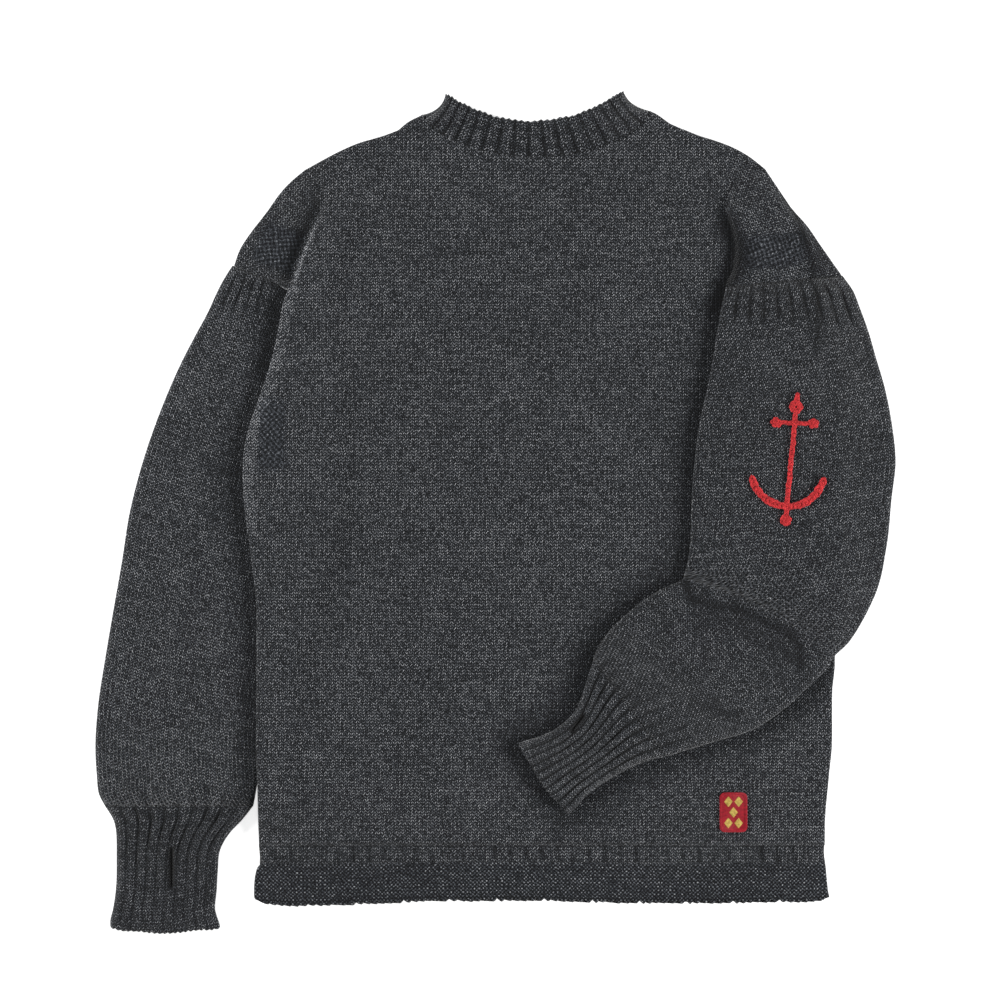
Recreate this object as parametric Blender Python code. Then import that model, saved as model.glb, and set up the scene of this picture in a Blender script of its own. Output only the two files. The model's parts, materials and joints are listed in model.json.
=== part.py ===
"""A guernsey fisherman sweater, laid flat on a table with its front up.

The left sleeve lies on the table and is tucked under the body. The right sleeve is folded over the
front and bends at the elbow. Left and right are the viewer's. Sizes are in millimetres, +X to the
right, +Y to the collar and +Z up from the table, and add_object turns them into Blender's metres.
"""

import math
from collections import namedtuple

import bmesh
import bpy
import numpy as np

MM = 0.001

# The cloth
WALL = 2.4  # one layer of knitted wool
SEAM_GAP = 0.35  # between two pieces that meet edge to edge
LAYER_GAP = 0.4  # between two layers that lie on each other
TUBE_GAP = 0.6  # inside a sleeve that lies flat
TUBE = 2 * WALL + TUBE_GAP  # a flat sleeve
BODY_TOP = 2 * WALL + LAYER_GAP  # the flat body
EDGE = 5.0  # how far in from a folded edge the cloth begins to round
EDGE_STEP = 1.5  # the first step in from an edge
EDGE_HEIGHT = 0.4  # the share of the wall that is left at the very edge
RIB = 0.9  # how far a knitted rib stands up

# Heights on the garment, from the middle of its length
WELT_SEAM_Y = -300.0
RIB_BAND_END_Y = -316.0
SEAM_LOW_Y = 201.5  # just under the seam of the right armhole
SEAM_HIGH_Y = 202.7  # the seam of the right armhole, at its inner end
SEAM_SLOPE = 0.105  # how the right armhole's seam climbs outwards
SEAM_START_X = 218.0
YOKE_Y = 272.0  # the last straight row of the body, above it rows bend to the shoulders

# The body's left side from the welt up to the seam: where the body folds back, over the left sleeve
LEFT_SIDE = [  # y, x
    (-300, -213), (-262, -213.5), (-200, -215), (-150, -214.5), (-90, -214.5), (-45, -219),
    (0, -225), (38, -227), (70, -223), (100, -213), (133, -202), (164, -195), (190, -190),
    (201.5, -185),
]
# The left armhole's seam runs out from there, and the silhouette of the shoulder goes on from it
LEFT_SEAM_OUT = (221.0, -235.4)
LEFT_SHOULDER = [(221, -235.4), (236, -230), (250, -221), (263, -211), (272, -204)]
# The body's right side under the right sleeve, then the silhouette from the seam's outer end
RIGHT_SIDE = [
    (-300, 296.5), (-285, 296.5), (-240, 300), (-205, 303), (-165, 303), (-137, 305.5),
    (0, 303), (110, 302), (145, 298), (170, 292), (188, 285), (201.5, 279),
]
RIGHT_SHOULDER = [(212.5, 311.6), (223, 304.2), (240, 292.3), (258, 279.8), (272, 267)]
# The foot of the fold beside the left shoulder, and of the one beside the right shoulder
LEFT_FOLD = [(201.5, -185), (226, -177), (253, -166), (272, -158)]
RIGHT_FOLD = [(-300, 225), (150, 225), (202, 206.5), (215, 211.5), (235, 214), (254, 211.5), (272, 205.5)]
# The crest of the right shoulder, from which the cloth falls to the table
RIGHT_CREST = [(202, 284), (220, 284), (235, 278.5), (257, 268.5), (272, 258.5)]
# The inner edge of the left sleeve, hidden under the body
HIDDEN_SLEEVE = [
    (-300, -216.5), (-257, -216.5), (-213, -208), (-179, -199), (-141, -188), (-99, -176), (-57, -165),
    (-12, -156), (28, -151), (80, -148), (143, -153), (191, -163), (201.5, -163),
]
# Where the body has cleared the hidden sleeve, from the seam up to the yoke
CLEAR_ABOVE_SEAM = [(197, -156), (226, -150), (272, -129)]
# Above the yoke the folds lean in with the shoulders: their start at the yoke and their lean
Lean = namedtuple("Lean", "x slope")
LEFT_FOOT_LEAN = Lean(-158.0, 0.35)
LEFT_CLEAR_LEAN = Lean(-129.0, 0.35)
RIGHT_FOOT_LEAN = Lean(205.5, 0.32)
RIGHT_EDGE_LEAN = Lean(267.0, -0.71)
RIGHT_CREST_WIDTH = 8.5
# The folds grow from nothing at the shoulder line over this height
LEFT_FOLD_TOP, LEFT_FOLD_GROWTH = 315.0, 85.0
RIGHT_FOLD_TOP, RIGHT_FOLD_GROWTH = 318.0, 60.0
# The body starts to lift at LIFT_TOP inside the left fold, and at BESIDE_TOP outside it
LIFT_TOP, BESIDE_TOP = 226.0, 210.0
LIFT_START = 34.0  # over this height above the welt the body lifts onto the sleeve
NECK_LEFT_X, NECK_RIGHT_X = -62.0, 138.0  # the columns under the neckband's ends
# The same places on the top row, from the left fold to the right crest
TOP_LEFT_PLACES = (-148.5, -139.5, -112.0, -88.0)
TOP_RIGHT_PLACES = (213.0, 221.0, 232.0)
# The shoulders' outline above the yoke, as far as the neckband
LEFT_TOP = [
    (-171.5, 307.4), (-152, 318.2), (-138, 325.4), (-123, 331.7), (-105, 337), (-88, 343),
    (-79.5, 350), (-65.3, 357.3),
]
RIGHT_TOP = [
    (140, 360.5), (146.3, 356.9), (159, 348), (170.6, 343.4), (184, 338), (196, 334.4),
    (214.7, 327.2), (229, 319), (242.6, 308.3),
]

# The left shoulder's outline bows out between the yoke and its top, less for columns further in
SHOULDER_BOW = 2.5
BOW_END_X, BOW_RUN = -160.0, 45.0

# The neckband: two arcs, its seam and its top edge
Arc = namedtuple("Arc", "middle half height tilt drop power")
NECK_SEAM = Arc(middle=37.4, half=102.7, height=358.9, tilt=0.0156, drop=40.0, power=0.65)
NECK_TOP = Arc(middle=35.1, half=80.0, height=377.15, tilt=0.0173, drop=25.6, power=1.0)
NECK_RIBS = 17
NECK_FAN_DEG = 62.0  # how far round the neck the ribs close up towards the shoulders
NECK_SWEEP = 4.5  # the hollow in the neckband's outline at its corners
NECK_ROWS = (0.0, 0.12, 0.5, 0.9, 1.0)  # the shares of the way from its seam to its top edge
NECK_TIP_BULGE = (0.0, 0.6, 0.86)  # how far its folded ends have opened at their first points
NECK_COARSE = 4  # its hidden faces have a column for every four of its front

# How the cloth is raised by what lies hidden in it or under it
LEFT_RISE = TUBE + 0.3  # the body over the left sleeve
FOLD_RUN = 6.0  # the width of the rise at a fold
UNDER_MARGIN = 5.0
UNDER_RUN = 28.0  # the ramp past the hidden sleeve's edge
RIGHT_RISE = TUBE + 0.3  # the right shoulder, folded over the body as the sleeve is
BODY_LOFT = 1.8  # the front stands off the back in the middle of the body
Trough = namedtuple("Trough", "x0 y0 x1 y1 width depth")
BODY_TROUGHS = [
    Trough(-50, 76, -152, -66, 15, 1.8),
    Trough(-163, -100, -158, -200, 9, 1.5),
    Trough(-95, 215, 20, 190, 16, 0.8),
]
LOFT_LIMIT = [(-300, -40), (-110, -40), (-40, 100), (80, 140), (300, 140)]  # y, x: where the loft ends

# Sleeves: one row for each section, from the armhole to the cuff
Section = namedtuple("Section", "inner_x inner_y outer_x outer_y bow loft ribs")
RIGHT_SLEEVE = [
    Section(207.3, 199.9, 312.5, 210.4, 0, 0.6, 0.4),
    Section(205.3, 193.5, 322.0, 199.0, 0, 1.5, 1.0),
    Section(203.0, 183.5, 328.0, 184.0, 0, 2.0, 1.0),
    Section(201.3, 174.0, 332.5, 172.0, 0, 2.3, 0.8),
    Section(199.5, 165.0, 336.0, 162.0, 0, 2.5, 0.0),
    Section(196.0, 142.0, 342.0, 141.0, 0, 2.8, 0.0),
    Section(190.5, 112.0, 350.5, 112.0, 0, 3.0, 0.0),
    Section(183.0, 78.0, 357.0, 79.0, 0, 3.0, 0.0),
    Section(178.5, 42.0, 360.4, 45.0, 0, 3.0, 0.0),
    Section(176.0, 5.0, 356.8, 12.0, 0, 3.0, 0.0),
    Section(175.0, -28.0, 352.2, -32.0, 0, 3.0, 0.0),
    Section(171.5, -50.0, 341.8, -75.5, 2, 3.1, 0.0),
    Section(169.5, -57.0, 318.0, -117.0, 7, 3.2, 0.0),
    Section(168.5, -60.5, 303.5, -131.0, 9, 0.5, 0.0),
    Section(164.0, -63.0, 299.0, -139.5, 7, 1.6, 0.0),
    Section(145.0, -72.0, 284.0, -154.5, 3, 3.0, 0.0),
    Section(125.0, -86.0, 261.0, -176.0, 0, 3.0, 0.0),
    Section(107.0, -102.0, 231.0, -196.0, 0, 2.8, 0.0),
    Section(95.0, -117.0, 197.5, -206.5, 0, 2.4, 0.0),
    Section(88.6, -129.5, 168.0, -215.5, 0, 1.8, 0.0),
    Section(87.8, -133.6, 152.5, -220.4, 0, 1.4, 0.0),
]
RIGHT_CUFF = [
    Section(87.7, -134.0, 152.1, -220.7, 0, 1.4, 0.5),
    Section(83.0, -148.0, 137.0, -224.0, 0, 1.2, 1.0),
    Section(77.0, -167.0, 120.0, -231.0, 0, 1.0, 1.0),
    Section(69.5, -181.5, 104.5, -239.5, 0, 0.8, 1.0),
    Section(55.5, -194.0, 91.0, -248.0, 0, 0.8, 1.0),
    Section(40.0, -202.0, 80.0, -257.0, 0, 0.8, 1.0),
    Section(25.5, -206.0, 71.0, -267.5, -3, 1.0, 0.6),
    Section(21.0, -207.5, 66.5, -271.5, -4, 0.8, 0.2),
]
LEFT_SLEEVE = [
    Section(-163.0, 191.8, -236.6, 220.7, 0, 0.4, 0.4),
    Section(-161.0, 184.0, -241.9, 213.8, 0, 1.4, 1.0),
    Section(-158.0, 172.0, -248.6, 202.0, 0, 1.8, 1.0),
    Section(-156.5, 163.0, -253.6, 191.5, 0, 2.0, 0.8),
    Section(-155.0, 155.0, -258.0, 181.5, 0, 2.0, 0.0),
    Section(-153.0, 140.0, -269.0, 161.0, 0, 2.2, 0.0),
    Section(-149.5, 110.0, -284.5, 131.0, 0, 2.4, 0.0),
    Section(-148.0, 78.0, -302.0, 90.0, 0, 2.4, 0.0),
    Section(-149.5, 42.0, -317.0, 47.0, 0, 2.4, 0.0),
    Section(-154.5, 0.0, -329.3, 0.0, 0, 2.4, 0.0),
    Section(-163.0, -45.0, -336.5, -45.0, 0, 2.4, 0.0),
    Section(-174.5, -90.0, -344.0, -88.0, 0, 2.4, 0.0),
    Section(-186.5, -135.0, -352.0, -135.0, 0, 2.4, 0.0),
    Section(-197.5, -175.0, -358.0, -175.0, 0, 2.4, 0.0),
    Section(-207.0, -210.0, -360.4, -212.0, 0, 2.4, 0.0),
    Section(-213.5, -240.0, -359.0, -239.0, 0, 2.2, 0.0),
    Section(-216.5, -257.0, -357.0, -255.0, 0, 1.8, 0.0),
    Section(-218.0, -264.8, -351.9, -264.8, 0, 1.2, 0.0),
]
LEFT_CUFF = [
    Section(-218.2, -265.2, -351.7, -265.2, 0, 1.2, 0.5),
    Section(-228.0, -277.5, -344.4, -277.0, 0, 1.2, 1.0),
    Section(-240.0, -290.5, -341.6, -289.5, 0, 1.0, 1.0),
    Section(-248.0, -305.0, -341.2, -305.0, 0, 0.8, 1.0),
    Section(-250.0, -323.0, -341.2, -323.0, 0, 0.8, 1.0),
    Section(-251.0, -341.0, -342.0, -341.0, 0, 0.8, 1.0),
    Section(-252.5, -357.0, -344.5, -358.0, 0, 0.8, 1.0),
    Section(-248.5, -371.5, -347.0, -370.0, 3, 1.0, 0.6),
    Section(-248.0, -374.0, -347.0, -374.3, 4.3, 0.8, 0.2),
]
SLEEVE_RIBS = 10
CUFF_RIBS = 10
RIGHT_SUPPORT = BODY_TOP + 0.3  # the right sleeve lies on the front
SUPPORT_MARGIN = 5.0
SUPPORT_RUN = 30.0  # past the body's edge it comes down to the table
COVER_MARGIN = 5.0
COVER_RUN = 26.0  # the left sleeve flattens where the body covers it
# The side of a flat tube: how far in its points lie, and their heights as shares of the tube's
NOSE_IN, NOSE_HIGH, NOSE_LOW = 1.3, 0.86, 0.14
INSIDE_EDGE = WALL + 0.4  # how far in from a tube's side its inner wall folds
INSIDE_POINTS = 10
# The narrow groove where a cuff's ribs fold in: its place across, the sections that it spans, its depth
Groove = namedtuple("Groove", "across first last depth")
LEFT_CUFF_GROOVE = Groove(across=0.47, first=3, last=5, depth=1.0)
RIGHT_CUFF_GROOVE = Groove(across=0.15, first=2, last=4, depth=1.0)
GROOVE_WIDTH = 2.5

# The welts under the body, open at the sides
WELT_LEFT = [(-300.4, -213), (-317, -211.8), (-321, -214.7), (-345, -217.4), (-350.5, -214.5), (-352.5, -209)]
WELT_RIGHT = [(-300.4, 296), (-305, 295.6), (-322, 297.5), (-341, 299.5), (-346, 300.5), (-348, 297.5)]
WELT_SAG = 2.0  # the hem is a little shorter in its middle
WELT_RIBS = 36
BORDER_DROPS = (0.62, 0.9, 0.97, 1.0)  # the rows of the border below the ribs, as shares of the depth
HEM_SHARES = {0.97: 0.85, 1.0: 0.5}  # the hem is thinner towards its edge

# The patch low on the front
PATCH_MIDDLE = (214.0, -270.5)
PATCH_SIZE = (25.0, 36.0)
PATCH_CORNER = 5.0
PATCH_THICKNESS = 1.2
PATCH_GAP = 0.3

# Colours
CHARCOAL = (0.048, 0.052, 0.062, 1.0)
PATCH_RED = (0.45, 0.02, 0.03, 1.0)


def smooth(share):
    """0 below 0, 1 above 1 and an S between them."""
    share = min(max(share, 0.0), 1.0)
    return share * share * (3.0 - 2.0 * share)


def along(table, at):
    """The value at a key of a table of (key, value) rows, on a smooth curve that never overshoots."""
    keys = np.array([row[0] for row in table], float)
    values = np.array([row[1] for row in table], float)
    at = min(max(at, keys[0]), keys[-1])
    i = min(max(int(np.searchsorted(keys, at)) - 1, 0), len(keys) - 2)
    steps = np.diff(keys)
    slopes = np.diff(values) / steps
    tangents = np.concatenate([[slopes[0]], (slopes[:-1] + slopes[1:]) / 2, [slopes[-1]]])
    turning = np.concatenate([[False], slopes[:-1] * slopes[1:] <= 0, [False]])
    tangents[turning] = 0.0
    before, after = np.concatenate([slopes[:1], slopes]), np.concatenate([slopes, slopes[-1:]])
    limit = 3 * np.minimum(np.abs(before), np.abs(after))
    tangents = np.clip(tangents, -limit, limit)
    s = (at - keys[i]) / steps[i]
    a, b = values[i], values[i + 1]
    da, db = tangents[i] * steps[i], tangents[i + 1] * steps[i]
    return (
        a * (1 + 2 * s) * (1 - s) ** 2 + da * s * (1 - s) ** 2 + b * s * s * (3 - 2 * s) - db * s * s * (1 - s)
    )


def spaced(start, end, count):
    """count values from start up to end, without end."""
    return [start + (end - start) * i / count for i in range(count)]


def arc_y(arc, x):
    """The height of one of the neckband's two arcs."""
    across = min(abs((x - arc.middle) / arc.half), 1.0)
    return arc.height + arc.tilt * (x - arc.middle) - arc.drop * (1 - across * across) ** arc.power


def left_x(y):
    """The left edge of the body in the row at this height."""
    if y <= SEAM_LOW_Y:
        return along(LEFT_SIDE, y)
    out_y, out_x = LEFT_SEAM_OUT
    if y < out_y:
        return LEFT_SIDE[-1][1] + (out_x - LEFT_SIDE[-1][1]) * (y - SEAM_LOW_Y) / (out_y - SEAM_LOW_Y)
    return along(LEFT_SHOULDER, y)


def seam_climb(y, x):
    """How far the right armhole's slanting seam lifts the part of a row that lies right of its start."""
    if y >= SEAM_HIGH_Y:
        weight = (YOKE_Y - y) / (YOKE_Y - SEAM_HIGH_Y)
    else:
        weight = max((y - 150.0) / (SEAM_HIGH_Y - 150.0), 0.0)
    return SEAM_SLOPE * max(x - SEAM_START_X, 0.0) * min(weight, 1.0)


def right_x(y):
    """The right edge of the body in the row at this height."""
    if y <= SEAM_LOW_Y:
        return along(RIGHT_SIDE, y)
    x = 300.0
    for _ in range(8):
        x = along(RIGHT_SHOULDER, y + seam_climb(y, x))
    return x


def under_x(y):
    """Where the body has cleared the hidden sleeve and starts down to the table."""
    if y > CLEAR_ABOVE_SEAM[0][0]:
        clear = along(CLEAR_ABOVE_SEAM, y)
    else:
        clear = along(HIDDEN_SLEEVE, y) + UNDER_MARGIN
    return max(clear, left_x(y) + 23.0) if y <= SEAM_LOW_Y else clear


def row_guides(y):
    """The named places across one row of the body, from its left edge to its right edge."""
    left, right = left_x(y), right_x(y)
    foot = along(LEFT_FOLD, y) if y > SEAM_LOW_Y else left + 8.0
    foot = max(foot, left + 6.5)
    under = under_x(y)
    right_foot = along(RIGHT_FOLD, y)
    crest = along(RIGHT_CREST, y) if y > SEAM_LOW_Y else right - 12.0
    crest = min(crest, right - 7.0)
    return [
        left, left + EDGE_STEP, left + EDGE, foot, foot + FOLD_RUN, under, under + UNDER_RUN,
        NECK_LEFT_X, NECK_RIGHT_X, right_foot, right_foot + FOLD_RUN, crest, right - EDGE,
        right - EDGE_STEP, right,
    ]


# How many columns lie between one guide and the next
COLUMNS = [1, 1, 1, 2, 1, 2, 1, 10, 3, 2, 2, 1, 1, 1]


def top_y(x):
    """The outline of the shoulders and the neckline."""
    if x < LEFT_TOP[-1][0]:
        return along(LEFT_TOP, x)
    if x > RIGHT_TOP[0][0]:
        return along(RIGHT_TOP, x)
    return arc_y(NECK_SEAM, x)


def fanned(share):
    """A place across the neck, -1 to 1, closer together towards the shoulders."""
    fan = math.radians(NECK_FAN_DEG)
    return math.sin((2 * share - 1) * fan) / math.sin(fan)


def spread(guides):
    """The columns between the guides."""
    places = []
    for start, end, count in zip(guides, guides[1:], COLUMNS):
        places += spaced(start, end, count)
    return places + [guides[-1]]


def top_points():
    """The top row of the body: along the left shoulder, the neckline and the right shoulder."""
    left, right = LEFT_TOP[0][0], RIGHT_TOP[-1][0]
    neck_left, neck_right = LEFT_TOP[-1][0], RIGHT_TOP[0][0]
    guides = [
        left, left + EDGE_STEP, left + EDGE, *TOP_LEFT_PLACES, neck_left, neck_right,
        *TOP_RIGHT_PLACES, right - EDGE, right - EDGE_STEP, right,
    ]
    places = spread(guides)
    start = sum(COLUMNS[:7])
    count = COLUMNS[7]
    for i in range(1, count):
        places[start + i] = NECK_SEAM.middle + NECK_SEAM.half * fanned(i / count)
    return [(x, top_y(x)) for x in places]


def body_rows():
    """The heights of the body's straight rows, closer together where the seams and folds are."""
    return (
        spaced(WELT_SEAM_Y, -266, 2)
        + spaced(-266, 164, 13)
        + [164, 180, 192, 198, SEAM_LOW_Y, SEAM_HIGH_Y]
        + [208.5, 214.5, LEFT_SEAM_OUT[0]]
        + [232.0, 245.0, 258.0, YOKE_Y]
    )


def body_grid():
    """The points (x, y) of the body's rows, from the welt to the shoulders."""
    grid = []
    for y in body_rows():
        grid.append([(x, y + seam_climb(y, x)) for x in spread(row_guides(y))])
    shoulder_rows = [[], [], [], [], []]
    for (x0, y0), (x1, y1) in zip(grid[-1], top_points()):
        length = math.hypot(x1 - x0, y1 - y0)
        bow = SHOULDER_BOW * smooth((BOW_END_X - x0) / BOW_RUN)
        out_x, out_y = -(y1 - y0) / length * bow, (x1 - x0) / length * bow
        shares = (0.3, 0.62, 1 - EDGE / length, 1 - EDGE_STEP / length, 1.0)
        for row, share in zip(shoulder_rows, shares):
            bowed = math.sin(math.pi * share)
            row.append((x0 + (x1 - x0) * share + out_x * bowed, y0 + (y1 - y0) * share + out_y * bowed))
    return grid + shoulder_rows


def edge_share(grid, row, column):
    """The share of the wall's thickness that a point of the body has: less at the folded edges."""
    x, y = grid[row][column]
    ends = (grid[row][0], grid[row][-1], grid[-1][column])
    near = min(math.hypot(x - a, y - b) for a, b in ends)
    if near >= EDGE:
        return 1.0
    return EDGE_HEIGHT + (1 - EDGE_HEIGHT) * math.sqrt(1 - (1 - near / EDGE) ** 2)


def leaning(lean, y):
    """A place above the yoke on a line that leans with the shoulder."""
    return lean.x + (y - YOKE_Y) * lean.slope


def fold_rise(x, foot, clear):
    """0 before the foot of the left fold, 1 past it, and 0 again past the hidden sleeve."""
    return smooth((x - foot) / FOLD_RUN) * (1 - smooth((x - clear) / UNDER_RUN))


def lift(x, y):
    """How far the hidden left sleeve holds the body off the table."""
    if y > LIFT_TOP or y < WELT_SEAM_Y:
        return 0.0
    clear = under_x(y)
    if y <= SEAM_LOW_Y:
        start = smooth((y - WELT_SEAM_Y) / LIFT_START)
        return LEFT_RISE * start * (1 - smooth((x - clear) / UNDER_RUN))
    foot = along(LEFT_FOLD, y)
    beside = smooth((BESIDE_TOP - y) / (BESIDE_TOP - SEAM_LOW_Y))
    inside = smooth((LIFT_TOP - y) / (LIFT_TOP - SEAM_LOW_Y)) * fold_rise(x, foot, clear)
    fall = 1 - smooth((x - clear) / UNDER_RUN)
    return LEFT_RISE * max(beside * fall, inside)


def left_heap(x, y):
    """The rise of the front beside the left shoulder, where the body folds back under itself."""
    if y <= SEAM_LOW_Y or y > LEFT_FOLD_TOP:
        return 0.0
    foot = along(LEFT_FOLD, y) if y <= YOKE_Y else leaning(LEFT_FOOT_LEAN, y)
    clear = under_x(y) if y <= YOKE_Y else leaning(LEFT_CLEAR_LEAN, y)
    grown = smooth((LEFT_FOLD_TOP - y) / LEFT_FOLD_GROWTH)
    return LEFT_RISE * grown * fold_rise(x, foot, clear)


def right_heap(x, y, row_y):
    """The rise of the front at the right shoulder, which is folded over the body with the sleeve."""
    if row_y < SEAM_HIGH_Y or y > RIGHT_FOLD_TOP:
        return 0.0
    if y <= YOKE_Y:
        foot, crest, edge = along(RIGHT_FOLD, y), along(RIGHT_CREST, y), along(RIGHT_SHOULDER, y)
    else:
        foot, edge = leaning(RIGHT_FOOT_LEAN, y), leaning(RIGHT_EDGE_LEAN, y)
        crest = edge - RIGHT_CREST_WIDTH
    grown = smooth((RIGHT_FOLD_TOP - y) / RIGHT_FOLD_GROWTH)
    fall = 1 - smooth((x - crest) / (edge - crest))
    return RIGHT_RISE * grown * smooth((x - foot) / FOLD_RUN) * fall


def trough_depth(x, y, trough):
    """The depth of a soft fold at a point: deepest along its line, gone past its width."""
    dx, dy = trough.x1 - trough.x0, trough.y1 - trough.y0
    share = ((x - trough.x0) * dx + (y - trough.y0) * dy) / (dx * dx + dy * dy)
    share = min(max(share, 0.0), 1.0)
    away = math.hypot(x - trough.x0 - share * dx, y - trough.y0 - share * dy)
    return trough.depth * math.exp(-((away / trough.width) ** 2)) * (0.35 + 0.65 * math.sin(math.pi * share))


def body_loft(x, y):
    """How far the front stands off the back, under its soft folds."""
    side = smooth((x - left_x(min(y, SEAM_LOW_Y)) - 12.0) / 45.0)
    side *= smooth((along(LOFT_LIMIT, y) - x) / 70.0)
    ends = smooth((y + 288.0) / 50.0) * smooth((300.0 - y) / 45.0)
    loft = BODY_LOFT * side * ends
    return max(loft - sum(trough_depth(x, y, t) for t in BODY_TROUGHS) * side * ends, 0.0)


def front_bottom(x, y):
    return lift(x, y) + WALL + LAYER_GAP + body_loft(x, y)


def front_top(x, y, row_y):
    """The front's upper face, with the layers that are folded in under it."""
    hidden = max(left_heap(x, y) - lift(x, y), 0.0) + right_heap(x, y, row_y)
    return front_bottom(x, y) + WALL + hidden


class Cloth:
    """Collects the points and triangles of one closed piece of cloth."""

    def __init__(self):
        self.points = []
        self.faces = []

    def row(self, points):
        start = len(self.points)
        self.points += [tuple(p) for p in points]
        return list(range(start, len(self.points)))

    def sheet(self, rows):
        """Two triangles in each cell between rows of equal length."""
        for low, high in zip(rows, rows[1:]):
            for i in range(len(low) - 1):
                self.faces.append((low[i], low[i + 1], high[i + 1]))
                self.faces.append((low[i], high[i + 1], high[i]))

    def ribbon(self, one, other):
        """Triangles between two rows that run side by side and may have different counts."""
        places = [self.shares(one), self.shares(other)]
        i = j = 0
        while i < len(one) - 1 or j < len(other) - 1:
            step = j == len(other) - 1 or (i < len(one) - 1 and places[0][i + 1] <= places[1][j + 1])
            if step:
                self.faces.append((one[i], one[i + 1], other[j]))
                i += 1
            else:
                self.faces.append((one[i], other[j + 1], other[j]))
                j += 1

    def shares(self, row):
        """Each point's share of the row's length, seen from above."""
        flat = np.array([self.points[i][:2] for i in row])
        steps = np.hypot(*np.diff(flat, axis=0).T)
        return np.concatenate([[0.0], np.cumsum(steps)]) / max(steps.sum(), 1e-9)

    def close_slab(self, top, bottom):
        """The four side faces between an upper and a lower sheet."""
        for a, b in ((top[0], bottom[0]), (top[-1], bottom[-1])):
            self.ribbon(a, b)
        for end in (0, -1):
            self.ribbon([row[end] for row in top], [row[end] for row in bottom])


def add_material(name, colour, roughness):
    material = bpy.data.materials.new(name)
    material.use_nodes = True
    shader = material.node_tree.nodes["Principled BSDF"]
    shader.inputs["Base Color"].default_value = colour
    shader.inputs["Roughness"].default_value = roughness
    shader.inputs["Metallic"].default_value = 0.0
    return material


def add_object(name, cloth, material, collection):
    """One named object from a closed piece of cloth."""
    shape = bmesh.new()
    points = [shape.verts.new((x * MM, y * MM, z * MM)) for x, y, z in cloth.points]
    for face in cloth.faces:
        if len(set(face)) == 3:
            shape.faces.new([points[i] for i in face])
    bmesh.ops.recalc_face_normals(shape, faces=shape.faces[:])
    mesh = bpy.data.meshes.new(name)
    shape.to_mesh(mesh)
    shape.free()
    mesh.materials.append(material)
    mesh.shade_smooth()
    mesh.set_sharp_from_angle(angle=math.radians(50))
    piece = bpy.data.objects.new(name, mesh)
    collection.objects.link(piece)
    return piece


def back_panel(grid):
    """The back: it lies on the table, and rises over the hidden sleeve."""
    cloth = Cloth()
    top, bottom = [], []
    for r, row in enumerate(grid):
        top.append(cloth.row((x, y, lift(x, y) + WALL) for x, y in row))
        share = [edge_share(grid, r, c) for c in range(len(row))]
        bottom.append(cloth.row((x, y, lift(x, y) + WALL * (1 - s)) for (x, y), s in zip(row, share)))
    cloth.sheet(top)
    cloth.sheet(bottom)
    cloth.close_slab(top, bottom)
    return cloth


def front_panel(grid):
    """The front: it lies on the back, with its soft folds and both shoulders' folds."""
    cloth = Cloth()
    heights = body_rows()
    top, bottom = [], []
    for r, row in enumerate(grid):
        row_y = heights[r] if r < len(heights) else YOKE_Y
        share = [edge_share(grid, r, c) for c in range(len(row))]
        upper = [
            (x, y, front_top(x, y, row_y) - WALL * (1 - s)) for (x, y), s in zip(row, share)
        ]
        top.append(cloth.row(upper))
        bottom.append(cloth.row((x, y, front_bottom(x, y)) for x, y in row))
    cloth.sheet(top)
    cloth.sheet(bottom)
    cloth.close_slab(top, bottom)
    return cloth


def rib_wave(place):
    """1 on a rib and 0 in the furrow beside it, for a place counted in ribs."""
    return 0.5 - 0.5 * math.cos(2 * math.pi * place)


def tube_profile(width, low_places, low_heights, count, loft, ribs, rib_count, cover, groove):
    """The upper wall of a flat tube: distances across, and the height of its outer and inner faces."""
    inner = [EDGE + (width - 2 * EDGE) * i / count for i in range(count + 1)]
    outer, inside = [], []
    for d in inner:
        share = d / width
        crown = loft * math.sin(math.pi * share) ** 0.6 * cover(share)
        base = np.interp(d, low_places, low_heights)
        fade = cover(share) * smooth(min(d, width - d) / 8.0)
        pressed = 0.0
        if groove:
            away = (share - groove.across) * width / GROOVE_WIDTH
            pressed = groove.depth * math.exp(-(away**2))
        rib = RIB * ribs * rib_wave(share * rib_count) * fade
        outer.append(base + TUBE + crown + rib - pressed)
        inside.append(base + TUBE + crown - WALL - pressed)
    return inner, outer, inside


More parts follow.
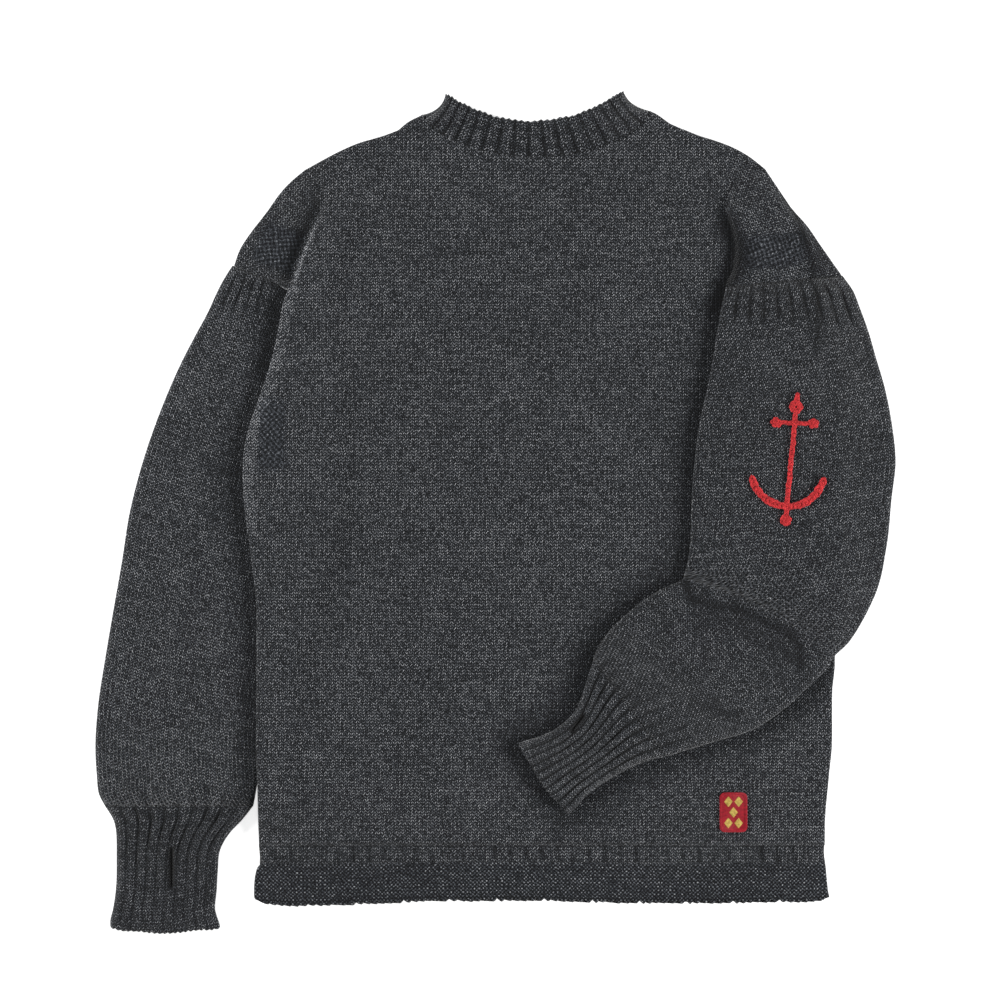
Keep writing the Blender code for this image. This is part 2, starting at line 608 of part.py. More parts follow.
def flat_tube(sections, rib_count, columns_per_rib, support, cover, groove=None):
    """A sleeve or cuff lying flat: rings of points through its sections, an outer and an inner wall."""
    cloth = Cloth()
    rings = {"over": [], "under": [], "over_in": [], "under_in": []}
    count = rib_count * columns_per_rib
    for index, s in enumerate(sections):
        start = np.array([s.inner_x, s.inner_y], float)
        end = np.array([s.outer_x, s.outer_y], float)
        width = float(np.hypot(*(end - start)))
        across = (end - start) / width
        down = np.array([-across[1], across[0]])

        def place(d, z):
            bowed = s.bow * math.sin(math.pi * d / width)
            x, y = start + across * d + down * bowed
            return (x, y, z)

        low_places, low_heights = support(s, width)
        pressed = groove if groove and groove.first <= index <= groove.last else None
        covered = cover(s, width)
        over, outer, inside = tube_profile(
            width, low_places, low_heights, count, s.loft, s.ribs, rib_count, covered, pressed
        )
        ends = np.interp([0.0, width], low_places, low_heights)
        left_tip, right_tip = (0.0, ends[0] + TUBE / 2), (width, ends[1] + TUBE / 2)
        ring = [left_tip, (NOSE_IN, ends[0] + NOSE_HIGH * TUBE)]
        ring += list(zip(over, outer))
        ring += [(width - NOSE_IN, ends[1] + NOSE_HIGH * TUBE), right_tip]
        rings["over"].append(cloth.row(place(d, z) for d, z in ring))
        low = [(NOSE_IN, ends[0] + NOSE_LOW * TUBE)] + list(zip(low_places[1:-1], low_heights[1:-1]))
        low += [(width - NOSE_IN, ends[1] + NOSE_LOW * TUBE)]
        row = cloth.row(place(d, z) for d, z in low)
        rings["under"].append([rings["over"][-1][0]] + row + [rings["over"][-1][-1]])
        steps = np.linspace(EDGE, width - EDGE, INSIDE_POINTS)
        ceiling = np.interp(steps, over, inside)
        floor = np.interp(steps, low_places, low_heights) + WALL
        left_end = (INSIDE_EDGE, ends[0] + TUBE / 2)
        right_end = (width - INSIDE_EDGE, ends[1] + TUBE / 2)
        ring = [left_end] + list(zip(steps, ceiling)) + [right_end]
        rings["over_in"].append(cloth.row(place(d, z) for d, z in ring))
        row = cloth.row(place(d, z) for d, z in zip(steps, floor))
        rings["under_in"].append([rings["over_in"][-1][0]] + row + [rings["over_in"][-1][-1]])
    for name in rings:
        cloth.sheet(rings[name])
    for end in (0, -1):
        cloth.ribbon(rings["over"][end], rings["over_in"][end])
        cloth.ribbon(rings["under"][end], rings["under_in"][end])
    return cloth


def on_table(section, width):
    """The underside of a tube that lies on the table."""
    places = [0.0, EDGE, width * 0.35, width * 0.65, width - EDGE, width]
    return places, [0.0] * len(places)


def on_front(section, width):
    """The underside of the right sleeve: on the front, then down to the table past the body's edge."""
    reach = (section.outer_x - section.inner_x) / width
    height = max(min(section.inner_y, section.outer_y), WELT_SEAM_Y)
    body_edge = right_x(min(height, SEAM_LOW_Y)) + SUPPORT_MARGIN
    start = (body_edge - section.inner_x) / reach if reach > 0.5 else width
    room = width - EDGE
    start = min(max(start, EDGE + 8.0), room - 4.0)
    off = min(max((section.outer_x - body_edge) / SUPPORT_RUN, 0.0), 1.0)
    end = min(start + SUPPORT_RUN, room - 1.0)
    low = RIGHT_SUPPORT * (1 - smooth(off))
    places = [0.0, EDGE, start * 0.5, start, 0.5 * (start + end), end, room, width]
    middle = 0.5 * (RIGHT_SUPPORT + low)
    heights = [RIGHT_SUPPORT] * 4 + [middle, low, low, low]
    return places, heights


def bare(section, width):
    """Nothing lies on this tube."""
    return lambda share: 1.0


def under_body(section, width):
    """The body covers the inner side of the left sleeve and presses it flat."""

    def share_of(share):
        x = section.inner_x + (section.outer_x - section.inner_x) * share
        y = section.inner_y + (section.outer_y - section.inner_y) * share
        edge = left_x(min(y, SEAM_LOW_Y))
        return smooth((edge - COVER_MARGIN - x) / COVER_RUN)

    return share_of


def neckband(grid):
    """The ribbed neckband: a flat ring whose front lies on its back, folded at the shoulders."""
    cloth = Cloth()
    first = sum(COLUMNS[:7])
    neckline = np.array(grid[-1][first : first + COLUMNS[7] + 1])
    count = NECK_RIBS * 4
    shares = np.linspace(0, 1, len(neckline))
    over, under, over_in, under_in = [], [], [], []
    for up in NECK_ROWS:
        rows = ([], [], [], [])
        for i in range(count + 1):
            share = i / count
            seam = np.array([np.interp(share, shares, neckline[:, k]) for k in (0, 1)])
            x = NECK_TOP.middle + NECK_TOP.half * fanned(share)
            rim = np.array([x, arc_y(NECK_TOP, x)])
            spoke = rim - seam
            length = np.hypot(*spoke)
            corner = abs(2 * share - 1) ** 6
            sweep = NECK_SWEEP * 4 * up * (1 - up) * corner
            side = 1.0 if share < 0.5 else -1.0
            x, y = seam + spoke * (SEAM_GAP * 1.3 / length + up * (1 - SEAM_GAP * 1.3 / length))
            x, y = x + side * sweep * 0.8, y - sweep * 0.6
            near = min(i, count - i)
            bulge = NECK_TIP_BULGE[near] if near < len(NECK_TIP_BULGE) else 1.0
            rib = RIB * rib_wave(share * NECK_RIBS) * (0.5 if up in (0.0, 1.0) else 1.0) * smooth(near / 4)
            middle = TUBE / 2
            rows[0].append((x, y, middle + middle * bulge + rib))
            rows[1].append((x, y, middle - middle * bulge))
            rows[2].append((x, y, WALL + TUBE_GAP))
            rows[3].append((x, y, WALL))
        over.append(rows[0])
        under.append(rows[1])
        over_in.append(rows[2])
        under_in.append(rows[3])
    return ring_cloth(cloth, over, under, over_in, under_in)


def ring_cloth(cloth, over, under, over_in, under_in):
    """Joins the four faces of a flat ring. The outer ones meet at its ends, the inner ones a little inside."""
    rows = {"over": [], "under": [], "over_in": [], "under_in": []}
    for top, low, top_in, low_in in zip(over, under, over_in, under_in):
        last = len(top) - 1
        left, right = np.array(top[0][:2]), np.array(top[-1][:2])
        rows["over"].append(cloth.row([(*left, TUBE / 2)] + top[1:last] + [(*right, TUBE / 2)]))
        ends = rows["over"][-1][0], rows["over"][-1][-1]
        picked = [low[1]] + low[NECK_COARSE:-NECK_COARSE:NECK_COARSE] + [low[last - 1]]
        rows["under"].append([ends[0]] + cloth.row(picked) + [ends[1]])
        inner = top_in[NECK_COARSE:-NECK_COARSE:NECK_COARSE]
        tips = [(*top_in[2][:2], TUBE / 2), (*top_in[last - 2][:2], TUBE / 2)]
        rows["over_in"].append(cloth.row([tips[0]] + inner + [tips[1]]))
        ends = rows["over_in"][-1][0], rows["over_in"][-1][-1]
        rows["under_in"].append([ends[0]] + cloth.row(low_in[NECK_COARSE:-NECK_COARSE:NECK_COARSE]) + [ends[1]])
    for name in rows:
        cloth.sheet(rows[name])
    for end in (0, -1):
        cloth.ribbon(rows["over"][end], rows["over_in"][end])
        cloth.ribbon(rows["under"][end], rows["under_in"][end])
    return cloth


def welt_point(share, drop):
    """A point of the welt's outline: share across, and drop of the way down its sides."""
    left, right = welt_side(WELT_LEFT, drop), welt_side(WELT_RIGHT, drop)
    x = left[0] + (right[0] - left[0]) * share
    y = left[1] + (right[1] - left[1]) * share
    return x, y + WELT_SAG * drop * math.sin(math.pi * share)


def welt_side(table, drop):
    """The point of a welt's side at a share of its depth."""
    top, bottom = table[0][0], table[-1][0]
    y = top + (bottom - top) * drop
    down = [(-a, b) for a, b in table]
    return along(down, -y), y


def welt(bottom_z, ribs, is_front):
    """One welt: a band of ribs over a plain border, with the hem's corners rounded."""
    cloth = Cloth()
    columns = WELT_RIBS * 2 if ribs else 12
    band = (WELT_SEAM_Y - RIB_BAND_END_Y) / (WELT_SEAM_Y - WELT_LEFT[-1][0])
    seam, relief = 0.05, 0.08  # the shares of the depth over which the ribs and the border rise
    drops = [0.0, seam, band - seam, band, band + relief, *BORDER_DROPS]
    top, bottom = [], []
    for drop in drops:
        in_band = ribs and drop in (seam, band - seam)
        in_border = is_front and drop in (band + relief, *BORDER_DROPS[:2])
        height = WALL * HEM_SHARES.get(drop, 1.0)
        upper, lower = [], []
        for i in range(columns + 1):
            x, y = welt_point(i / columns, drop)
            rib = RIB * (i % 2) if in_band else 0.0
            rib += RIB * 0.5 if in_border and 0 < i < columns else 0.0
            thick = height * (0.5 if i in (0, columns) else 1.0)
            if is_front:
                upper.append((x, y, bottom_z + thick + rib))
                lower.append((x, y, bottom_z))
            else:
                upper.append((x, y, bottom_z + WALL))
                lower.append((x, y, bottom_z + WALL - thick))
        top.append(cloth.row(upper))
        step = 6 if ribs else 1
        bottom.append(cloth.row(lower[::step]))
    cloth.sheet(top)
    cloth.sheet(bottom)
    cloth.close_slab(top, bottom)
    return cloth


def rounded_rectangle(width, height, corner, steps=5):
    """The outline of a rectangle with round corners, from its right side round."""
    points = []
    for quarter, (sx, sy) in enumerate(((1, 1), (-1, 1), (-1, -1), (1, -1))):
        centre = (sx * (width / 2 - corner), sy * (height / 2 - corner))
        for i in range(steps + 1):
            turn = math.radians(90 * (quarter + i / steps))
            points.append((centre[0] + corner * math.cos(turn), centre[1] + corner * math.sin(turn)))
    return points


def add_patch(material, collection):
    """The patch: a flat outline, filled and thickened, that lies on the front."""
    outline = bpy.data.curves.new("patch", "CURVE")
    outline.dimensions = "2D"
    outline.fill_mode = "BOTH"
    outline.extrude = PATCH_THICKNESS * MM / 2
    spline = outline.splines.new("POLY")
    points = rounded_rectangle(*PATCH_SIZE, PATCH_CORNER)
    spline.points.add(len(points) - 1)
    for point, (x, y) in zip(spline.points, points):
        point.co = (x * MM, y * MM, 0.0, 1.0)
    spline.use_cyclic_u = True
    outline.materials.append(material)
    patch = bpy.data.objects.new("patch", outline)
    x, y = PATCH_MIDDLE
    patch.location = (x * MM, y * MM, (BODY_TOP + PATCH_GAP + PATCH_THICKNESS / 2) * MM)
    collection.objects.link(patch)
    return patch


def main():
    for old in list(bpy.data.objects):
        bpy.data.objects.remove(old, do_unlink=True)
    collection = bpy.data.collections.new("fisherman_sweater")
    bpy.context.scene.collection.children.link(collection)
    wool = add_material("charcoal_wool", CHARCOAL, 0.92)
    ribbed = add_material("charcoal_rib", CHARCOAL, 0.92)
    red = add_material("patch_red", PATCH_RED, 0.8)
    grid = body_grid()
    pieces = {
        "back": (back_panel(grid), wool),
        "front": (front_panel(grid), wool),
        "neckband": (neckband(grid), ribbed),
        "sleeve_left": (flat_tube(LEFT_SLEEVE, SLEEVE_RIBS, 2, on_table, under_body), wool),
        "cuff_left": (flat_tube(LEFT_CUFF, CUFF_RIBS, 4, on_table, bare, LEFT_CUFF_GROOVE), ribbed),
        "sleeve_right": (flat_tube(RIGHT_SLEEVE, SLEEVE_RIBS, 2, on_front, bare), wool),
        "cuff_right": (flat_tube(RIGHT_CUFF, CUFF_RIBS, 4, on_front, bare, RIGHT_CUFF_GROOVE), ribbed),
        "welt_back": (welt(0.0, False, False), ribbed),
        "welt_front": (welt(WALL + LAYER_GAP, True, True), ribbed),
    }
    for name, (cloth, material) in pieces.items():
        add_object(name, cloth, material, collection)
    add_patch(red, collection)


main()
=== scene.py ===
# %% [markdown]
# # A fisherman sweater, laid flat
#
# This is a guernsey, knitted in tightly spun charcoal wool. The packed CAD model holds its panels,
# sleeves, cuffs, neckband and welts as plain flat solids. Each of them gets a fine knitted shell
# here, on the same form: folds, ribs, furrows and edges are geometry, and the stitches are worked
# out from knitting coordinates that each shell carries.
#
# Sizes are in millimetres, as in the CAD script, and are turned into Blender's metres when a mesh
# is made. +X is to the viewer's right, +Y to the collar and +Z up from the surface.

# %% The fixed frame
import json
import math
import random
from collections import namedtuple

import bmesh
import bpy
import numpy as np
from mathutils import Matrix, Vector
from mathutils.bvhtree import BVHTree

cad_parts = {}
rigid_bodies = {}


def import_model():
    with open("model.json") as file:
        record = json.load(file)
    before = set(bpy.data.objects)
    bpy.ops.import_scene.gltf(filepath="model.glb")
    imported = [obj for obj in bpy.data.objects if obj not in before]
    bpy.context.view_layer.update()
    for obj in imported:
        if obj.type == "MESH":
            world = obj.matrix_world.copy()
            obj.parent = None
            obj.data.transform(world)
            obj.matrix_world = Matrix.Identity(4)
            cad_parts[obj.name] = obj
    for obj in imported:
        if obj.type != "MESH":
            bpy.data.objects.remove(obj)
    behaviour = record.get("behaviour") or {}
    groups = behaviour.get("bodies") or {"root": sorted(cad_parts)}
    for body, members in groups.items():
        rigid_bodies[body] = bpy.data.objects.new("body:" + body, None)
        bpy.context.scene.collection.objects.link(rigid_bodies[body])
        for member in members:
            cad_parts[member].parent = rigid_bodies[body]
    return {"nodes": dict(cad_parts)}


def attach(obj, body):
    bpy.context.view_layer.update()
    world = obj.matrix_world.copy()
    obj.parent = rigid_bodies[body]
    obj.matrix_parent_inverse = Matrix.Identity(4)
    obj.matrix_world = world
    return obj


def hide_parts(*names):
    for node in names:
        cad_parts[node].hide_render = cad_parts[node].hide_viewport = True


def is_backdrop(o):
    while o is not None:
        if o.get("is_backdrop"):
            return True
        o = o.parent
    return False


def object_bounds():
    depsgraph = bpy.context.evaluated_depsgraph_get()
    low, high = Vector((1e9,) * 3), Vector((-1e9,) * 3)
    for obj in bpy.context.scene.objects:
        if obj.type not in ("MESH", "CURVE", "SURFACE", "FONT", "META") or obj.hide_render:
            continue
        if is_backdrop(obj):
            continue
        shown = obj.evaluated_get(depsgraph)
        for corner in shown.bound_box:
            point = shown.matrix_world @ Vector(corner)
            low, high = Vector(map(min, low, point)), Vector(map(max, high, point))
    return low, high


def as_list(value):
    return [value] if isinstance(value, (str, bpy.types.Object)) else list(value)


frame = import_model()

MM = 0.001
cad_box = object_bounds()
print("nodes:", ", ".join(sorted(frame["nodes"])))

# %% [markdown]
# ## The camera
#
# The garment is photographed from straight above. A camera without perspective would do, but a
# real one has a lens, so a long one is used here: its perspective is weak, and the heights still
# show. The frame is 0.9 m wide where the garment lies, and a little off the garment's middle.

# %% A camera that looks straight down
FRAME_WIDTH = 900.0
LENS, SENSOR = 85.0, 36.0
VIEW_MIDDLE = (4.05, 10.35)
VIEW_HEIGHT = 4.0  # the height at which the frame has that width

camera_data = bpy.data.cameras.new("camera_above")
camera_data.lens, camera_data.sensor_width = LENS, SENSOR
camera = bpy.data.objects.new("camera_above", camera_data)
camera.location = (
    VIEW_MIDDLE[0] * MM, VIEW_MIDDLE[1] * MM, (FRAME_WIDTH * LENS / SENSOR + VIEW_HEIGHT) * MM
)
bpy.context.scene.collection.objects.link(camera)
bpy.context.scene.camera = camera
print("camera height, m:", round(camera.location.z, 3))

# %% [markdown]
# ## Smooth curves through short tables
#
# The edge of laid-out cloth is one calm line. It could be a Bezier curve with handles, or many close
# points. Here an outline is a short table of places that a maker would mark on the garment, and a
# curve through them that never overshoots, so a table needs a row only where the outline turns.

# %% Curves
def smooth(share):
    """0 below 0, 1 above 1 and an S between them."""
    share = np.clip(share, 0.0, 1.0)
    return share * share * (3.0 - 2.0 * share)


def along(table, at):
    """The values at some keys of a table of (key, value) rows."""
    keys, values = np.array(table, float).T
    at = np.clip(at, keys[0], keys[-1])
    i = np.clip(np.searchsorted(keys, at) - 1, 0, len(keys) - 2)
    steps = np.diff(keys)
    slopes = np.diff(values) / steps
    before, after = np.concatenate([slopes[:1], slopes]), np.concatenate([slopes, slopes[-1:]])
    limit = 3 * np.minimum(np.abs(before), np.abs(after))
    tangents = np.where(before * after <= 0, 0.0, np.clip((before + after) / 2, -limit, limit))
    s = (at - keys[i]) / steps[i]
    a, b = values[i], values[i + 1]
    da, db = tangents[i] * steps[i], tangents[i + 1] * steps[i]
    return (
        a * (1 + 2 * s) * (1 - s) ** 2 + da * s * (1 - s) ** 2 + b * s * s * (3 - 2 * s)
        - db * s * s * (1 - s)
    )


def spread(guides, counts):
    """Places between the guides, so many from each guide to the next."""
    parts = [np.linspace(a, b, n, endpoint=False) for a, b, n in zip(guides, guides[1:], counts)]
    return np.append(np.concatenate(parts), guides[-1])


print("halfway through an S:", float(smooth(0.5)))

# %% [markdown]
# ## The garment's measures
#
# The body is two panels, each one layer of wool thick, that fold back at their left side over the
# hidden sleeve. The shells could be copied off the CAD meshes, but those are coarse. So they are
# worked out anew from the same tables as the CAD script's, and keep to the form of its solids.

# %% The cloth's thickness and the body's outline
WALL = 2.4
LAYER_GAP = 0.4
TUBE_GAP = 0.6
TUBE = 2 * WALL + TUBE_GAP
BODY_TOP = 2 * WALL + LAYER_GAP
EDGE = 5.0  # how far in from a folded edge the cloth begins to round
EDGE_HEIGHT = 0.4  # the share of the wall that is left at the very edge
RIB = 0.9

WELT_SEAM_Y = -300.0
RIB_BAND_END_Y = -316.0
SEAM_LOW_Y = 201.5
SEAM_HIGH_Y = 202.7
SEAM_SLOPE = 0.105
SEAM_START_X = 218.0
YOKE_Y = 272.0

LEFT_SIDE = [  # y, x
    (-300, -213), (-262, -213.5), (-200, -215), (-150, -214.5), (-90, -214.5), (-45, -219),
    (0, -225), (38, -227), (70, -223), (100, -213), (133, -202), (164, -195), (190, -190),
    (201.5, -185),
]
LEFT_SEAM_OUT = (221.0, -235.4)
LEFT_SHOULDER = [(221, -235.4), (236, -230), (250, -221), (263, -211), (272, -204)]
RIGHT_SIDE = [
    (-300, 296.5), (-285, 296.5), (-240, 300), (-205, 303), (-165, 303), (-137, 305.5),
    (0, 303), (110, 302), (145, 298), (170, 292), (188, 285), (201.5, 279),
]
RIGHT_SHOULDER = [(212.5, 311.6), (223, 304.2), (240, 292.3), (258, 279.8), (272, 267)]
LEFT_FOLD = [(201.5, -185), (226, -177), (253, -166), (272, -158)]
RIGHT_FOLD = [
    (-300, 225), (150, 225), (202, 206.5), (215, 211.5), (235, 214), (254, 211.5), (272, 205.5),
]
RIGHT_CREST = [(202, 284), (220, 284), (235, 278.5), (257, 268.5), (272, 258.5)]
HIDDEN_SLEEVE = [
    (-300, -216.5), (-257, -216.5), (-213, -208), (-179, -199), (-141, -188), (-99, -176),
    (-57, -165), (-12, -156), (28, -151), (80, -148), (143, -153), (191, -163), (201.5, -163),
]
CLEAR_ABOVE_SEAM = [(197, -156), (226, -150), (272, -129)]
LEFT_TOP = [
    (-171.5, 307.4), (-152, 318.2), (-138, 325.4), (-123, 331.7), (-105, 337), (-88, 343),
    (-79.5, 350), (-65.3, 357.3),
]
RIGHT_TOP = [
    (140, 360.5), (146.3, 356.9), (159, 348), (170.6, 343.4), (184, 338), (196, 334.4),
    (214.7, 327.2), (229, 319), (242.6, 308.3),
]
Lean = namedtuple("Lean", "x slope")
LEFT_FOOT_LEAN = Lean(-158.0, 0.35)
LEFT_CLEAR_LEAN = Lean(-129.0, 0.35)
RIGHT_FOOT_LEAN = Lean(205.5, 0.32)
RIGHT_EDGE_LEAN = Lean(267.0, -0.71)
RIGHT_CREST_WIDTH = 8.5
LEFT_FOLD_TOP, LEFT_FOLD_GROWTH = 315.0, 85.0
RIGHT_FOLD_TOP, RIGHT_FOLD_GROWTH = 318.0, 60.0
LIFT_TOP, BESIDE_TOP = 226.0, 210.0
LIFT_START = 34.0
NECK_LEFT_X, NECK_RIGHT_X = -62.0, 138.0
TOP_LEFT_PLACES = (-148.5, -139.5, -112.0, -88.0)
TOP_RIGHT_PLACES = (213.0, 221.0, 232.0)

Arc = namedtuple("Arc", "middle half height tilt drop power")
NECK_SEAM = Arc(middle=37.4, half=102.7, height=358.9, tilt=0.0156, drop=40.0, power=0.65)
NECK_TOP = Arc(middle=35.1, half=80.0, height=377.15, tilt=0.0173, drop=25.6, power=1.0)
NECK_RIBS = 17
NECK_FAN_DEG = 62.0
NECK_SWEEP = 4.5

LEFT_RISE = RIGHT_RISE = TUBE + 0.3
FOLD_RUN = 6.0
UNDER_MARGIN = 5.0
UNDER_RUN = 28.0
BODY_LOFT = 1.8
LOFT_LIMIT = [(-300, -40), (-110, -40), (-40, 100), (80, 140), (300, 140)]
print("body length, mm:", round(NECK_SEAM.height - WELT_SEAM_Y))


# %% Places on the body
def arc_y(arc, x):
    across = np.minimum(np.abs((x - arc.middle) / arc.half), 1.0)
    return arc.height + arc.tilt * (x - arc.middle) - arc.drop * (1 - across * across) ** arc.power


def left_x(y):
    """The left edge of the body, and above its armhole the edge of the shoulder."""
    out_y, out_x = LEFT_SEAM_OUT
    start = LEFT_SIDE[-1][1]
    seam = start + (out_x - start) * (y - SEAM_LOW_Y) / (out_y - SEAM_LOW_Y)
    return np.where(
        y <= SEAM_LOW_Y, along(LEFT_SIDE, y), np.where(y < out_y, seam, along(LEFT_SHOULDER, y))
    )


def seam_climb(y, x):
    """How far the right armhole's slanting seam lifts the part of a row that lies right of its start."""
    above = (YOKE_Y - y) / (YOKE_Y - SEAM_HIGH_Y)
    below = np.maximum((y - 150.0) / (SEAM_HIGH_Y - 150.0), 0.0)
    weight = np.minimum(np.where(y >= SEAM_HIGH_Y, above, below), 1.0)
    return SEAM_SLOPE * np.maximum(x - SEAM_START_X, 0.0) * weight


def right_x(y):
    """The right edge of the body."""
    x = np.full_like(np.asarray(y, float), 300.0)
    for _ in range(8):
        x = along(RIGHT_SHOULDER, y + seam_climb(y, x))
    return np.where(y <= SEAM_LOW_Y, along(RIGHT_SIDE, y), x)


def under_x(y):
    """Where the body has cleared the hidden sleeve and starts down to the table."""
    clear = np.where(
        y > CLEAR_ABOVE_SEAM[0][0], along(CLEAR_ABOVE_SEAM, y), along(HIDDEN_SLEEVE, y) + UNDER_MARGIN
    )
    return np.where(y <= SEAM_LOW_Y, np.maximum(clear, left_x(y) + 23.0), clear)


print("body width at the welt, mm:", float(right_x(WELT_SEAM_Y) - left_x(WELT_SEAM_Y)))

# %% [markdown]
# ## What lifts the body
#
# The left sleeve lies under the body's edge, and both shoulders are folded over more wool, so the
# panels rise there and come down again. A simulation could let sheets settle over each other, but
# these heaps have their places. So each one is a foot, a crest and an end between which an S rises
# and falls, and front and back rise together, so they don't cut through the sleeve.

# %% The heaps under the front
def leaning(lean, y):
    return lean.x + (y - YOKE_Y) * lean.slope


def fold_rise(x, foot, clear):
    """0 before the foot of the left fold, 1 past it, and 0 again past the hidden sleeve."""
    return smooth((x - foot) / FOLD_RUN) * (1 - smooth((x - clear) / UNDER_RUN))


def lift(x, y):
    """How far the hidden left sleeve holds the body off the table."""
    clear = under_x(y)
    fall = 1 - smooth((x - clear) / UNDER_RUN)
    low = LEFT_RISE * smooth((y - WELT_SEAM_Y) / LIFT_START) * fall
    beside = smooth((BESIDE_TOP - y) / (BESIDE_TOP - SEAM_LOW_Y)) * fall
    inside = smooth((LIFT_TOP - y) / (LIFT_TOP - SEAM_LOW_Y)) * fold_rise(x, along(LEFT_FOLD, y), clear)
    high = LEFT_RISE * np.maximum(beside, inside)
    return np.where(y <= SEAM_LOW_Y, low, np.where(y > LIFT_TOP, 0.0, high))


def left_heap(x, y):
    """The rise of the front beside the left shoulder, where the body folds back under itself."""
    foot = np.where(y <= YOKE_Y, along(LEFT_FOLD, y), leaning(LEFT_FOOT_LEAN, y))
    clear = np.where(y <= YOKE_Y, under_x(y), leaning(LEFT_CLEAR_LEAN, y))
    grown = smooth((LEFT_FOLD_TOP - y) / LEFT_FOLD_GROWTH)
    return np.where(y <= SEAM_LOW_Y, 0.0, LEFT_RISE * grown * fold_rise(x, foot, clear))


def right_heap(x, y, row_y):
    """The rise of the front at the right shoulder, which is folded over the body with the sleeve."""
    low = y <= YOKE_Y
    foot = np.where(low, along(RIGHT_FOLD, y), leaning(RIGHT_FOOT_LEAN, y))
    edge = np.where(low, along(RIGHT_SHOULDER, y), leaning(RIGHT_EDGE_LEAN, y))
    crest = np.where(low, along(RIGHT_CREST, y), edge - RIGHT_CREST_WIDTH)
    grown = smooth((RIGHT_FOLD_TOP - y) / RIGHT_FOLD_GROWTH)
    fall = 1 - smooth((x - crest) / (edge - crest))
    return np.where(row_y < SEAM_HIGH_Y, 0.0, RIGHT_RISE * grown * smooth((x - foot) / FOLD_RUN) * fall)


def free_share(x, y):
    """1 in the open middle of the body, 0 at its ends, at its left edge and under the right sleeve."""
    side = smooth((x - left_x(np.minimum(y, SEAM_LOW_Y)) - 12.0) / 45.0)
    side = side * smooth((along(LOFT_LIMIT, y) - x) / 70.0)
    return side * smooth((y + 288.0) / 50.0) * smooth((300.0 - y) / 45.0)


print("body's rise over the sleeve, mm:", float(lift(np.array([-200.0]), np.array([0.0]))[0]))


# %% [markdown]
# ## Folds in given places
#
# Wool that has been laid out keeps a few soft troughs and ridges: down from the armholes, across
# the belly, and where the sleeve bends. Cloth simulation makes folds of its own choosing, and these
# few have their places, so each is one row of a table: from one end to the other, with a width and
# a depth. An uneven swell on top keeps any stretch from being perfectly flat.

# %% Creases
Crease = namedtuple("Crease", "x0 y0 x1 y1 width depth")


def creased(x, y, creases):
    """The height that the creases add at some points: troughs are negative, ridges positive."""
    total = np.zeros_like(x)
    for c in creases:
        dx, dy = c.x1 - c.x0, c.y1 - c.y0
        share = np.clip(((x - c.x0) * dx + (y - c.y0) * dy) / (dx * dx + dy * dy), 0.0, 1.0)
        away = np.hypot(x - c.x0 - share * dx, y - c.y0 - share * dy)
        total += c.depth * np.exp(-((away / c.width) ** 2)) * (0.35 + 0.65 * np.sin(np.pi * share))
    return total


def swell(x, y, size, seed):
    """A soft uneven wave of about that size, between -1 and 1."""
    draw = random.Random(seed)
    total = np.zeros_like(x)
    for _ in range(7):
        turn = draw.uniform(0, math.tau)
        length = size * draw.uniform(0.7, 1.5)
        start = draw.uniform(0, math.tau)
        total += np.sin((x * math.cos(turn) + y * math.sin(turn)) / length * math.tau + start)
    return np.clip(total / 3.5, -1.0, 1.0)


BODY_CREASES = [
    Crease(-50, 76, -152, -66, 15, -1.8),
    Crease(-163, -100, -158, -200, 9, -1.5),
    Crease(-95, 215, 20, 190, 16, -0.8),
]
CAP_CREASES = [
    Crease(268, 274, 286, 200, 4.5, -1.8),
    Crease(276, 262, 279, 215, 6, 0.8),
    Crease(222, 262, 224, 222, 7, -1.2),
    Crease(240, 268, 262, 236, 7, -0.8),
    Crease(-196, 262, -204, 236, 8, -0.8),
]
print("creases on the body:", len(BODY_CREASES), "and on its shoulders:", len(CAP_CREASES))

# %% [markdown]
# ## Where less light reaches
#
# Wool is full of small gaps, so at the foot of a fold or under a sleeve it goes dark for some way,
# further than the folds' own shadows would show. The renderer could find that by itself in loose
# fibres, which would take millions of them. Here a few lines through the garment say where it goes
# dark, how widely and how much, and that shade is painted into the wool's colour along them.

# %% Lines of dusk
FAR = 1000.0  # further than any two places on the garment
Dusk = namedtuple("Dusk", "line width shade")


def away_from(x, y, line):
    """The distance from each point to a line through some places."""
    best = np.full_like(x, FAR)
    for (ax, ay), (bx, by) in zip(line, line[1:]):
        dx, dy = bx - ax, by - ay
        share = np.clip(((x - ax) * dx + (y - ay) * dy) / (dx * dx + dy * dy), 0, 1)
        best = np.minimum(best, np.hypot(x - ax - share * dx, y - ay - share * dy))
    return best


def dimmed(x, y, dusks):
    """How much less light reaches each point along some lines, such as the foot of a fold."""
    total = np.zeros_like(x)
    for dusk in dusks:
        share = away_from(x, y, dusk.line) / dusk.width
        total = np.maximum(total, dusk.shade * np.exp(-(share**2)))
    return total


# Painted shade in the hollow under the right shoulder's fold.
HOLLOW_PAINTED_SHADE = Dusk([(197, 182), (205, 200), (213, 216), (217, 230), (214, 244), (207, 258)], 10.0, 1.25)
# Painted shade along a crease of the right shoulder, and a wider, weaker band beside it.
CAP_DUSKS = [
    Dusk([(262, 284), (270, 266), (278, 246), (284, 224), (287, 203)], 3.2, 1.1),
    Dusk([(290, 240), (292, 222), (296, 206)], 13.0, 0.5),
]
# Painted shadow of the right sleeve on the front, along the sleeve's inner edge.
PAINTED_SHADOW_OF_THE_ARM = Dusk([
    (203, 190), (200, 165), (190, 112), (178, 42), (174, -28), (167, -58), (145, -70), (107, -100),
    (87, -130), (78, -162), (56, -190), (22, -204), (30, -218), (66, -274),
], 22.0, 0.52)
# Painted shadow of the forearm and cuff on the front, below them.
PAINTED_SHADOW_OF_THE_FOREARM = Dusk(
    [(66, -276), (100, -250), (152, -226), (231, -202), (284, -160), (300, -138)], 17.0, 0.42
)
print("places along the arm's dusk:", len(PAINTED_SHADOW_OF_THE_ARM.line))
